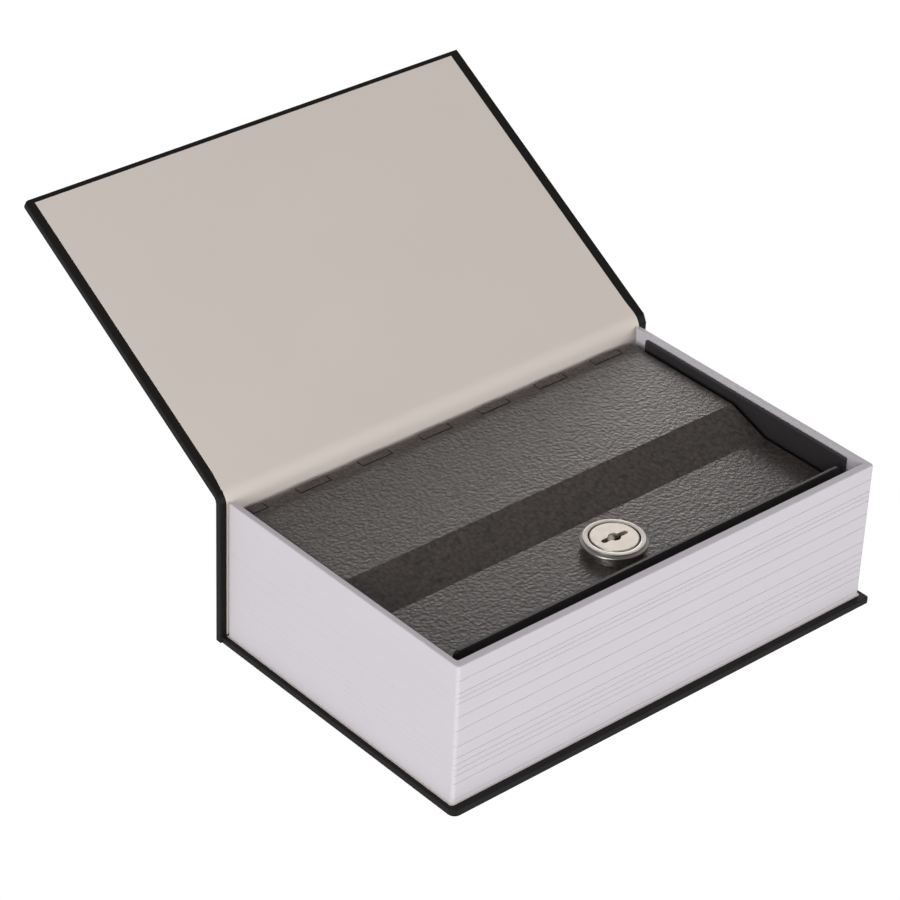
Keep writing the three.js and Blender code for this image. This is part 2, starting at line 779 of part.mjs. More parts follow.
buildCase();
buildJointCloth();
buildLiner();
buildPageBlock();
buildBoxBody();
buildHingePin();
buildRivets();
buildUpperCover();
buildLidAssembly();

export default book;
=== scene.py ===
"""A book safe: a black dummy book whose ribbed page tray holds a steel box with a stepped lid and a lock.

Lengths are millimetres unless a name says otherwise. +X runs along the book's height, +Y points to the
spine and +Z points up. Places come from the construction model's nodes and joints. NEAR is the distance
under which two places count as one, OVER is how far a cutting tool runs past what it cuts, and SHARP is
the angle in radians past which an edge counts as sharp.
"""
import json
import logging
import math
from dataclasses import dataclass, field
from enum import Enum
from typing import Callable, Iterable, Sequence

import bmesh
import bpy
from bmesh.types import BMEdge, BMesh
from mathutils import Matrix, Vector


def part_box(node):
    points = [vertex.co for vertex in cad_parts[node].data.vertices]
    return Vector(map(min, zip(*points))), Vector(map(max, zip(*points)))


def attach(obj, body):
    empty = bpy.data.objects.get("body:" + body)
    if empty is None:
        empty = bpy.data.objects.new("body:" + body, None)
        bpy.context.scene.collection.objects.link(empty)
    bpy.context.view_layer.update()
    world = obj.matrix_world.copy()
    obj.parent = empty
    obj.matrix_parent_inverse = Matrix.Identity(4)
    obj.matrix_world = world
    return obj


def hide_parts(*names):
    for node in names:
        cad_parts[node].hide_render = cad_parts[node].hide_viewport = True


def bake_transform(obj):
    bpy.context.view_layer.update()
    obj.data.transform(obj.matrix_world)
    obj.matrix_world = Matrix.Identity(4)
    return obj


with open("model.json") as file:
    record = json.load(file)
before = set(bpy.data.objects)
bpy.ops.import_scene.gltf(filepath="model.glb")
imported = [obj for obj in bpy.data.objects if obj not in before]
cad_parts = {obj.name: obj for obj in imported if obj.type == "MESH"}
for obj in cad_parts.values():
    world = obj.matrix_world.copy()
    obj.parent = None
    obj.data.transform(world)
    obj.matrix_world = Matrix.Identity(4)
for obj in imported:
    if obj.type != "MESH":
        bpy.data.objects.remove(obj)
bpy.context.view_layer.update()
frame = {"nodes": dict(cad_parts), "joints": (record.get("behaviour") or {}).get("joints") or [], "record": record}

LOG = logging.getLogger("book_safe")
MM = 0.001
NEAR = 0.01
OVER = 1.0
SHARP = 1.0


class Body(Enum):
    """Bodies of the construction model that pieces ride on."""

    CASE = "case"
    COVER = "upper_cover"
    LID = "lid"
    PLUG = "plug"


class Slot(Enum):
    """Material slots of the record."""

    COVER_PAPER = "cover_paper"
    GREY_BOARD = "grey_board"
    ENDPAPER = "endpaper"
    PAGE_PLASTIC = "page_plastic"
    BOX_PAINT = "box_paint"
    HAMMERED_PAINT = "hammered_paint"
    CHROME_RING = "chrome_ring"
    SATIN_FACE = "satin_face"
    LOCK_BRASS = "lock_brass"
    ZINC_STEEL = "zinc_steel"


class Cut(Enum):
    """Ways in which one solid works on another."""

    AWAY = "DIFFERENCE"
    JOIN = "UNION"
    MEET = "INTERSECT"


# Places taken from the construction model


def span(node: str) -> tuple[Vector, Vector]:
    """Gives the lowest and highest corner of a construction node.

    Args:
        node: name of the node.

    Returns:
        The two corners in millimetres.
    """
    low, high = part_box(node)
    return low / MM, high / MM


def joint(name: str) -> dict:
    """Gives the construction model's joint of that name."""
    return next(j for j in frame["joints"] if j["name"] == name)


def pivot(name: str) -> Vector:
    """Gives the point that a hinge turns about, in millimetres."""
    return Vector(joint(name)["pos_m"]) / MM


def merged_copy(node: str) -> BMesh:
    """Copies a construction node's mesh and merges its loose triangles.

    Args:
        node: name of the node.

    Returns:
        The closed solid, in millimetres.
    """
    shape = bmesh.new()
    shape.from_mesh(frame["nodes"][node].data)
    bmesh.ops.scale(shape, vec=Vector((1 / MM, 1 / MM, 1 / MM)), verts=shape.verts[:])
    bmesh.ops.remove_doubles(shape, verts=shape.verts[:], dist=NEAR / 5)
    return shape


# Shapes


def prism(outline: Sequence[Vector], push: Vector) -> BMesh:
    """Pushes a flat outline into a solid.

    Args:
        outline: corners of the flat outline, in order.
        push: direction and length of the push.

    Returns:
        The closed solid.
    """
    shape = bmesh.new()
    face = shape.faces.new([shape.verts.new(point) for point in outline])
    pushed = bmesh.ops.extrude_face_region(shape, geom=[face], use_keep_orig=True)
    moved = [item for item in pushed["geom"] if isinstance(item, bmesh.types.BMVert)]
    bmesh.ops.translate(shape, vec=push, verts=moved)
    bmesh.ops.recalc_face_normals(shape, faces=shape.faces[:])
    return shape


def profile_bar(points: Iterable[tuple[float, float]], low: float, high: float) -> BMesh:
    """Pushes an outline in Y and Z along X.

    Args:
        points: (y, z) corners in order.
        low: place of its lower end on X.
        high: place of its higher end on X.

    Returns:
        The closed solid.
    """
    return prism([Vector((low, y, z)) for y, z in points], Vector((high - low, 0, 0)))


def cuboid(low: Sequence[float], high: Sequence[float]) -> BMesh:
    """Makes a block between two corners.

    Args:
        low: its lowest corner.
        high: its highest corner.

    Returns:
        The closed solid.
    """
    low, high = Vector(low), Vector(high)
    shape = bmesh.new()
    place = Matrix.Translation((low + high) / 2) @ Matrix.Diagonal((*(high - low), 1))
    bmesh.ops.create_cube(shape, size=1, matrix=place)
    return shape


def round_bar(radius: float, low: float, high: float, at: tuple[float, float], sides: int = 64) -> BMesh:
    """Makes an upright round bar.

    Args:
        radius: radius of the bar.
        low: height of its lower end.
        high: height of its upper end.
        at: (x, y) of its axis.
        sides: number of flat sides.

    Returns:
        The closed solid.
    """
    shape = bmesh.new()
    bmesh.ops.create_cone(
        shape,
        cap_ends=True,
        segments=sides,
        radius1=radius,
        radius2=radius,
        depth=high - low,
        matrix=Matrix.Translation((*at, (low + high) / 2)),
    )
    return shape


def turned(profile: Sequence[tuple[float, float]], at: Vector, steps: int = 96) -> BMesh:
    """Spins a closed (radius, height) profile about an upright axis.

    Args:
        profile: corners of the profile; those on the axis have radius 0.
        at: foot of the axis, from which heights count.
        steps: number of steps in the full turn.

    Returns:
        The closed solid.
    """
    shape = bmesh.new()
    points = [shape.verts.new(at + Vector((radius, 0, height))) for radius, height in profile]
    edges = [shape.edges.new((a, b)) for a, b in zip(points, points[1:] + points[:1])]
    bmesh.ops.spin(
        shape,
        geom=points + edges,
        cent=at,
        axis=(0, 0, 1),
        angle=2 * math.pi,
        steps=steps,
        use_merge=True,
    )
    bmesh.ops.remove_doubles(shape, verts=shape.verts[:], dist=NEAR / 10)
    bmesh.ops.recalc_face_normals(shape, faces=shape.faces[:])
    return shape


def soften(shape: BMesh, wanted: Callable[[BMEdge], bool], radius: float, segments: int) -> None:
    """Rounds the edges that a test picks.

    Args:
        shape: solid to work on.
        wanted: says whether an edge is rounded.
        radius: width of the rounding.
        segments: number of faces across it.
    """
    edges = [edge for edge in shape.edges if wanted(edge)]
    bmesh.ops.bevel(
        shape,
        geom=edges,
        offset=radius,
        offset_type="OFFSET",
        segments=segments,
        profile=0.5,
        affect="EDGES",
        clamp_overlap=True,
        material=-1,
    )


def merge_flat(shape: BMesh, limit: float) -> None:
    """Merges faces that lie in one plane.

    Args:
        shape: solid to work on.
        limit: angle in degrees up to which two faces count as one.
    """
    bmesh.ops.dissolve_limit(
        shape, angle_limit=math.radians(limit), verts=shape.verts[:], edges=shape.edges[:]
    )


def ends(edge: BMEdge) -> tuple[Vector, Vector]:
    """Gives the two end points of an edge."""
    return edge.verts[0].co, edge.verts[1].co


def runs_along(edge: BMEdge, axis: int) -> bool:
    """Says whether an edge runs along an axis.

    Args:
        edge: edge to look at.
        axis: 0 for X, 1 for Y and 2 for Z.

    Returns:
        Whether it does.
    """
    a, b = ends(edge)
    step = b - a
    return abs(abs(step[axis]) - step.length) < NEAR


def both(edge: BMEdge, test: Callable[[Vector], bool]) -> bool:
    """Says whether both ends of an edge pass a test."""
    return all(test(point) for point in ends(edge))


def is_sharp(edge: BMEdge) -> bool:
    """Says whether two faces meet at an edge at a sharp angle."""
    return edge.calc_face_angle(0) > SHARP


def work_object(shape: BMesh) -> bpy.types.Object:
    """Puts a shape into a passing object.

    Args:
        shape: the shape, which is used up.

    Returns:
        The new object.
    """
    mesh = bpy.data.meshes.new("work")
    shape.to_mesh(mesh)
    shape.free()
    helper = bpy.data.objects.new("work", mesh)
    bpy.context.scene.collection.objects.link(helper)
    return helper


def discard(helper: bpy.types.Object) -> None:
    """Removes a passing object with its mesh.

    Args:
        helper: the object.
    """
    mesh = helper.data
    bpy.data.objects.remove(helper)
    bpy.data.meshes.remove(mesh)


def applied(host: bpy.types.Object) -> BMesh:
    """Works an object's modifiers into its shape.

    Args:
        host: the object, which is removed.

    Returns:
        The resulting shape.
    """
    bpy.context.view_layer.update()
    seen = host.evaluated_get(bpy.context.evaluated_depsgraph_get())
    mesh = bpy.data.meshes.new_from_object(seen)
    shape = bmesh.new()
    shape.from_mesh(mesh)
    bpy.data.meshes.remove(mesh)
    discard(host)
    return shape


def worked(body: BMesh, tools: Sequence[BMesh], cut: Cut = Cut.AWAY) -> BMesh:
    """Cuts tools out of a body, joins them to it, or keeps what the body has in common with them.

    Args:
        body: solid to work on, which is used up.
        tools: solids that work on it, which are used up.
        cut: how they work on it.

    Returns:
        The resulting solid.
    """
    host = work_object(body)
    helpers = [work_object(tool) for tool in tools]
    for helper in helpers:
        step = host.modifiers.new("work", "BOOLEAN")
        step.operation = cut.value
        step.solver = "EXACT"
        step.object = helper
    shape = applied(host)
    for helper in helpers:
        discard(helper)
    return shape


def thickened(skin: BMesh, thickness: float) -> BMesh:
    """Gives a skin its wall on the side away from its normals.

    Args:
        skin: open surface, which is used up.
        thickness: thickness of the wall.

    Returns:
        The closed sheet.
    """
    host = work_object(skin)
    wall = host.modifiers.new("wall", "SOLIDIFY")
    wall.thickness = thickness
    wall.offset = -1
    wall.use_even_offset = True
    return applied(host)


# Finishes


class NodeSheet:
    """A node tree with short calls that place and join its nodes."""

    def __init__(self, tree: bpy.types.NodeTree) -> None:
        """Works on the given tree."""
        self.tree = tree

    def add(self, kind: str, inputs: dict | None = None, **settings: object) -> bpy.types.Node:
        """Places a node.

        Args:
            kind: type name of the node.
            inputs: value or joined socket of each named or numbered input.
            settings: other values of the node.

        Returns:
            The new node.
        """
        node = self.tree.nodes.new(kind)
        for name, value in settings.items():
            setattr(node, name, value)
        for key, value in (inputs or {}).items():
            if isinstance(value, bpy.types.NodeSocket):
                self.tree.links.new(value, node.inputs[key])
            else:
                node.inputs[key].default_value = value
        return node

    def math(self, operation: str, *values: object) -> bpy.types.NodeSocket:
        """Places a Math node and gives its output."""
        node = self.add("ShaderNodeMath", dict(enumerate(values)), operation=operation)
        return node.outputs[0]

    def spread(self, value: object, low: float, high: float) -> bpy.types.NodeSocket:
        """Stretches a value from 0 to 1 over a range and gives the output."""
        node = self.add("ShaderNodeMapRange", {"Value": value, "To Min": low, "To Max": high})
        return node.outputs["Result"]


def effect(
    name: str, inputs: dict[str, float], output: str, kind: str
) -> tuple[bpy.types.NodeTree, NodeSheet]:
    """Starts a shader node group.

    Args:
        name: name of the group.
        inputs: its inputs with their first values; one that ends in Colour is a colour.
        output: name of its only output.
        kind: socket type of the output.

    Returns:
        The group and its sheet.
    """
    group = bpy.data.node_groups.new(name, "ShaderNodeTree")
    for label, value in inputs.items():
        if label.endswith("Colour"):
            group.interface.new_socket(label, in_out="INPUT", socket_type="NodeSocketColor")
        else:
            socket = group.interface.new_socket(label, in_out="INPUT", socket_type="NodeSocketFloat")
            socket.default_value = value
    group.interface.new_socket(output, in_out="OUTPUT", socket_type=kind)
    return group, NodeSheet(group)


def grain_group() -> bpy.types.NodeTree:
    """Builds the fine grain that all finishes share: a height from 0 to 1.

    Returns:
        The group.
    """
    group, sheet = effect("grain", {"Scale": 1000.0, "Roughness": 0.6}, "Height", "NodeSocketFloat")
    entry = sheet.add("NodeGroupInput")
    place = sheet.add("ShaderNodeTexCoord")
    noise = sheet.add(
        "ShaderNodeTexNoise",
        {
            "Vector": place.outputs["Object"],
            "Scale": entry.outputs["Scale"],
            "Detail": 4.0,
            "Roughness": entry.outputs["Roughness"],
        },
    )
    sheet.add("NodeGroupOutput", {"Height": noise.outputs["Fac"]})
    return group


def tone_group() -> bpy.types.NodeTree:
    """Builds the slow change of tone over a surface.

    Returns:
        The group.
    """
    group, sheet = effect(
        "tone", {"Base Colour": 0.0, "Scale": 40.0, "Amount": 0.1}, "Color", "NodeSocketColor"
    )
    entry = sheet.add("NodeGroupInput")
    place = sheet.add("ShaderNodeTexCoord")
    noise = sheet.add(
        "ShaderNodeTexNoise",
        {"Vector": place.outputs["Object"], "Scale": entry.outputs["Scale"], "Detail": 3.0},
    )
    centred = sheet.math("SUBTRACT", noise.outputs["Fac"], 0.5)
    swing = sheet.math("MULTIPLY", centred, entry.outputs["Amount"])
    factor = sheet.math("MULTIPLY_ADD", swing, 2.0, 1.0)
    scaled = sheet.add(
        "ShaderNodeVectorMath",
        {0: entry.outputs["Base Colour"], "Scale": factor},
        operation="SCALE",
    )
    sheet.add("NodeGroupOutput", {"Color": scaled.outputs["Vector"]})
    return group


def hammer_group() -> bpy.types.NodeTree:
    """Builds the pebbled relief of hammered paint: a height from 0 to 1.

    Returns:
        The group.
    """
    group, sheet = effect(
        "hammer", {"Scale": 420.0, "Warp": 0.0012, "Cells": 0.5}, "Height", "NodeSocketFloat"
    )
    entry = sheet.add("NodeGroupInput")
    place = sheet.add("ShaderNodeTexCoord")
    drift = sheet.add(
        "ShaderNodeTexNoise",
        {"Vector": place.outputs["Object"], "Scale": entry.outputs["Scale"], "Detail": 2.0},
    )
    centred = sheet.add(
        "ShaderNodeVectorMath", {0: drift.outputs["Color"], 1: (0.5, 0.5, 0.5)}, operation="SUBTRACT"
    )
    offset = sheet.add(
        "ShaderNodeVectorMath",
        {0: centred.outputs["Vector"], "Scale": entry.outputs["Warp"]},
        operation="SCALE",
    )
    warped = sheet.add(
        "ShaderNodeVectorMath", {0: place.outputs["Object"], 1: offset.outputs["Vector"]}, operation="ADD"
    )
    cells = sheet.add(
        "ShaderNodeTexVoronoi",
        {"Vector": warped.outputs["Vector"], "Scale": entry.outputs["Scale"], "Smoothness": 0.6},
        feature="SMOOTH_F1",
    )
    swell = sheet.add(
        "ShaderNodeTexNoise",
        {
            "Vector": warped.outputs["Vector"],
            "Scale": entry.outputs["Scale"],
            "Detail": 1.5,
            "Roughness": 0.45,
        },
    )
    domes = sheet.math("SUBTRACT", 1.0, cells.outputs["Distance"])
    share = entry.outputs["Cells"]
    rest = sheet.math("SUBTRACT", 1.0, share)
    height = sheet.math(
        "MULTIPLY_ADD", domes, share, sheet.math("MULTIPLY", swell.outputs["Fac"], rest)
    )
    sheet.add("NodeGroupOutput", {"Height": height})
    return group


@dataclass
class Effects:
    """Shared node groups, each built when it is first placed.

    Attributes:
        made: the groups that are built, by the names of the functions that build them.
    """

    made: dict[str, bpy.types.NodeTree] = field(default_factory=dict)

    def place(
        self, sheet: NodeSheet, build: Callable[[], bpy.types.NodeTree], inputs: dict
    ) -> bpy.types.NodeSocket:
        """Places a group in a material.

        Args:
            sheet: sheet of the material.
            build: function that builds the group.
            inputs: values of the group's inputs.

        Returns:
            The group's output.
        """
        if build.__name__ not in self.made:
            self.made[build.__name__] = build()
        node = sheet.add("ShaderNodeGroup", node_tree=self.made[build.__name__])
        for key, value in inputs.items():
            node.inputs[key].default_value = value
        return node.outputs[0]


EFFECTS = Effects()


@dataclass(frozen=True)
class Finish:
    """A surface finish with a slow change of tone and a fine grain.

    Attributes:
        colour: its colour, in linear red, green and blue.
        roughness: its mean roughness.
        metallic: 1 for bare metal and 0 for the rest.
        specular: strength of its clear reflection.
        tone_scale: fineness of the change of tone, per metre.
        tone_amount: share by which the tone changes.
        grain_scale: fineness of the grain, per metre.
        grain_depth: depth of the grain, in millimetres.
        gloss_spread: how far the roughness strays from its mean.
        gloss_fineness: how much finer its patches are than the changes of tone.
        least_roughness: roughness below which it never strays.
    """

    colour: tuple[float, float, float]
    roughness: float
    metallic: float = 0.0
    specular: float = 0.5
    tone_scale: float = 45.0
    tone_amount: float = 0.08
    grain_scale: float = 1500.0
    grain_depth: float = 0.01
    gloss_spread: float = 0.06
    gloss_fineness: float = 4.0
    least_roughness: float = 0.02

    def material(self, name: str) -> bpy.types.Material:
        """Builds the material.

        Args:
            name: name of the material.

        Returns:
            The new material.
        """
        made = bpy.data.materials.new(name)
        made.use_nodes = True
        sheet = NodeSheet(made.node_tree)
        shader = made.node_tree.nodes["Principled BSDF"]
        shader.inputs["Metallic"].default_value = self.metallic
        shader.inputs["Specular IOR Level"].default_value = self.specular
        join = made.node_tree.links.new
        join(self.tone(sheet), shader.inputs["Base Color"])
        join(self.gloss(sheet), shader.inputs["Roughness"])
        join(self.relief(sheet), shader.inputs["Normal"])
        return made

    def tone(self, sheet: NodeSheet) -> bpy.types.NodeSocket:
        """Gives the colour with its slow change of tone.

        Args:
            sheet: sheet of the material.

        Returns:
            The colour's socket.
        """
        inputs = {
            "Base Colour": (*self.colour, 1.0),
            "Scale": self.tone_scale,
            "Amount": self.tone_amount,
        }
        return EFFECTS.place(sheet, tone_group, inputs)

    def gloss(self, sheet: NodeSheet) -> bpy.types.NodeSocket:
        """Gives the roughness, which varies a little from place to place.

        Args:
            sheet: sheet of the material.

        Returns:
            The roughness's socket.
        """
        inputs = {"Scale": self.tone_scale * self.gloss_fineness, "Roughness": 0.5}
        patches = EFFECTS.place(sheet, grain_group, inputs)
        low = max(self.roughness - self.gloss_spread, self.least_roughness)
        return sheet.spread(patches, low, self.roughness + self.gloss_spread)

    def height(self, sheet: NodeSheet) -> bpy.types.NodeSocket:
        """Gives the relief's height, from 0 to 1."""
        return EFFECTS.place(sheet, grain_group, {"Scale": self.grain_scale, "Roughness": 0.6})

    def relief(self, sheet: NodeSheet) -> bpy.types.NodeSocket:
        """Gives the normal of the relief.

        Args:
            sheet: sheet of the material.

        Returns:
            The normal's socket.
        """
        bump = sheet.add(
            "ShaderNodeBump",
            {"Height": self.height(sheet), "Distance": self.grain_depth * MM, "Strength": 1.0},
        )
        return bump.outputs["Normal"]


@dataclass(frozen=True)
class HammeredFinish(Finish):
    """Hammered paint, whose relief is pebbles with a fine grain on them.

    Attributes:
        pebble_scale: fineness of the pebbles, per metre.
        pebble_depth: depth of the pebbles, in millimetres.
        pebble_warp: how far their pattern is pushed about, in millimetres.
        cell_share: share of round cells in their height; the rest is soft swell.
        pebble_painted_light: strength of the painted shade between them and the painted highlight on them.
    """

    pebble_scale: float = 420.0
    pebble_depth: float = 0.3
    pebble_warp: float = 1.4
    cell_share: float = 0.4
    pebble_painted_light: float = 1.2

    def pebbles(self, sheet: NodeSheet) -> bpy.types.NodeSocket:
        """Gives the pebbles' height, from 0 to 1.

        Args:
            sheet: sheet of the material.

        Returns:
            The height's socket.
        """
        inputs = {"Scale": self.pebble_scale, "Warp": self.pebble_warp * MM, "Cells": self.cell_share}
        return EFFECTS.place(sheet, hammer_group, inputs)

    def tone(self, sheet: NodeSheet) -> bpy.types.NodeSocket:
        """Gives the colour, with painted shade between the pebbles and a painted highlight on them.

        Args:
            sheet: sheet of the material.

        Returns:
            The colour's socket.
        """
        # Painted shade in the hollows between the pebbles and painted highlight on their tops, following the
        # relief's height.
        factor = sheet.spread(self.pebbles(sheet), 1 - self.pebble_painted_light, 1 + self.pebble_painted_light)
        painted_light_colour = sheet.add(
            "ShaderNodeVectorMath", {0: super().tone(sheet), "Scale": factor}, operation="SCALE"
        )
        return painted_light_colour.outputs["Vector"]

    def relief(self, sheet: NodeSheet) -> bpy.types.NodeSocket:
        """Gives the normal of the pebbles with the grain on them.

        Args:
            sheet: sheet of the material.

        Returns:
            The normal's socket.
        """
        coarse = sheet.add(
            "ShaderNodeBump",
            {"Height": self.pebbles(sheet), "Distance": self.pebble_depth * MM, "Strength": 1.0},
        )
        fine = sheet.add(
            "ShaderNodeBump",
            {
                "Height": self.height(sheet),
                "Distance": self.grain_depth * MM,
                "Strength": 1.0,
                "Normal": coarse.outputs["Normal"],
            },
        )
        return fine.outputs["Normal"]


FINISHES: dict[Slot, Finish] = {
    Slot.COVER_PAPER: Finish(
        colour=(0.0108, 0.0098, 0.0092), roughness=0.5, specular=0.12, grain_scale=1800.0, grain_depth=0.03
    ),
    Slot.GREY_BOARD: Finish(colour=(0.26, 0.23, 0.20), roughness=0.9, grain_depth=0.05),
    Slot.ENDPAPER: Finish(
        colour=(0.648, 0.585, 0.535), roughness=0.8, specular=0.25, tone_scale=18.0, tone_amount=0.03,
        grain_scale=900.0, grain_depth=0.012,
    ),
    Slot.PAGE_PLASTIC: Finish(
        colour=(0.55, 0.525, 0.56), roughness=0.5, specular=0.3, tone_amount=0.02, grain_depth=0.01
    ),
    Slot.BOX_PAINT: Finish(colour=(0.028, 0.026, 0.027), roughness=0.38, specular=0.4, grain_depth=0.02),
    Slot.HAMMERED_PAINT: HammeredFinish(
        colour=(0.050, 0.041, 0.037), roughness=0.36, specular=0.6, grain_depth=0.01,
        pebble_scale=760.0, pebble_depth=0.25, pebble_warp=1.0,
    ),
    Slot.CHROME_RING: Finish(
        colour=(0.56, 0.54, 0.50), roughness=0.3, metallic=1.0, tone_amount=0.03,
        grain_depth=0.002, gloss_spread=0.03,
    ),
    Slot.SATIN_FACE: Finish(
        colour=(0.66, 0.62, 0.56), roughness=0.4, metallic=1.0, tone_scale=300.0, tone_amount=0.12,
        grain_scale=3000.0, grain_depth=0.01,
    ),
    Slot.LOCK_BRASS: Finish(colour=(0.52, 0.38, 0.15), roughness=0.3, metallic=1.0, grain_depth=0.005),
    Slot.ZINC_STEEL: Finish(
        colour=(0.44, 0.44, 0.42), roughness=0.36, metallic=1.0, tone_scale=220.0, tone_amount=0.12,
        grain_depth=0.008,
    ),
}


@dataclass
class Workshop:
    """Turns finished shapes into named pieces and keeps one material for each slot.

    Attributes:
        materials: the materials that are built, by slot.
    """

    materials: dict[Slot, bpy.types.Material] = field(default_factory=dict)

    def material(self, slot: Slot) -> bpy.types.Material:
        """Gives the material of a slot, built when it is first asked for.

        Args:
            slot: the slot.

        Returns:
            Its material.
        """
        if slot not in self.materials:
            self.materials[slot] = FINISHES[slot].material(slot.value)
        return self.materials[slot]

    def piece(
        self, name: str, shape: BMesh, slot: Slot, stands_for: Sequence[str], crease: float = 34.0
    ) -> bpy.types.Object:
        """Makes a piece of the object.

        Args:
            name: name of the piece.
            shape: its shape in millimetres, which is used up.
            slot: its material slot.
            stands_for: construction nodes that it replaces.
            crease: angle in degrees past which an edge shows as sharp.

        Returns:
            The new object, in metres.
        """
        bmesh.ops.scale(shape, vec=Vector((MM, MM, MM)), verts=shape.verts[:])
        mesh = bpy.data.meshes.new(name)
        shape.to_mesh(mesh)
        shape.free()
        mesh.shade_smooth()
        mesh.set_sharp_from_angle(angle=math.radians(crease))
        mesh.materials.clear()
        mesh.materials.append(self.material(slot))
        made = bpy.data.objects.new(name, mesh)
        bpy.context.scene.collection.objects.link(made)
        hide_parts(*stands_for)
        LOG.info("%s: %d faces", name, len(mesh.polygons))
        return made

    def even_out(self, piece: bpy.types.Object) -> None:
        """Keeps the shading of large flat faces flat beside their rounded edges."""
        even = piece.modifiers.new("even_normals", "WEIGHTED_NORMAL")
        even.keep_sharp = True

    def dress(self, node: str) -> None:
        """Gives a construction node the material of its slot in the record.

        Args:
            node: name of the node.
        """
        entry = next(e for e in frame["record"]["subparts"] if e["node"] == node)
        slot = Slot(entry["material_slot"])
        mesh = frame["nodes"][node].data
        mesh.materials.clear()
        mesh.materials.append(self.material(slot))
        LOG.info("%s: construction shape in %s", node, slot.value)


# The book's case


@dataclass(frozen=True)
class CoverOutline:
    """A cover seen from above.

    Attributes:
        left: place of its left side on X.
        right: place of its right side on X.
        fore: place of its fore edge on Y.
        rear: place of its rear edge on Y.
        left_radius: radius of its left fore corner.
        right_radius: radius of its right fore corner.
        least_radius: radius that a corner keeps when the outline is drawn in.
        corner_segments: number of faces across a corner.
    """

    left: float
    right: float
    fore: float
    rear: float
    left_radius: float
    right_radius: float
    least_radius: float = 0.3
    corner_segments: int = 6

    def drawn_in(self, left: float, right: float, fore: float, rear: float) -> "CoverOutline":
        """Gives the outline with its sides moved in.

        Args:
            left: how far the left side moves in.
            right: how far the right side moves in.
            fore: how far the fore edge moves in.
            rear: how far the rear edge moves in.

        Returns:
            The smaller outline.
        """
        return CoverOutline(
            self.left + left,
            self.right - right,
            self.fore + fore,
            self.rear - rear,
            max(self.left_radius - left, self.least_radius),
            max(self.right_radius - right, self.least_radius),
        )

    def solid(self, low: float, high: float) -> BMesh:
        """Gives the panel with this outline.

        Args:
            low: height of its lower face.
            high: height of its upper face.

        Returns:
            The closed solid.
        """
        panel = cuboid((self.left, self.fore, low), (self.right, self.rear, high))
        fore = self.fore + NEAR
        middle = (self.left + self.right) / 2

        def at_corner(edge: BMEdge, side: int) -> bool:
            """Says whether an edge stands at the fore corner on one side, given as -1 or 1."""
            return runs_along(edge, 2) and both(edge, lambda p: p.y < fore and side * (p.x - middle) > NEAR)

        for side, radius in ((-1, self.left_radius), (1, self.right_radius)):
            soften(panel, lambda e, s=side: at_corner(e, s), radius, self.corner_segments)
        return panel


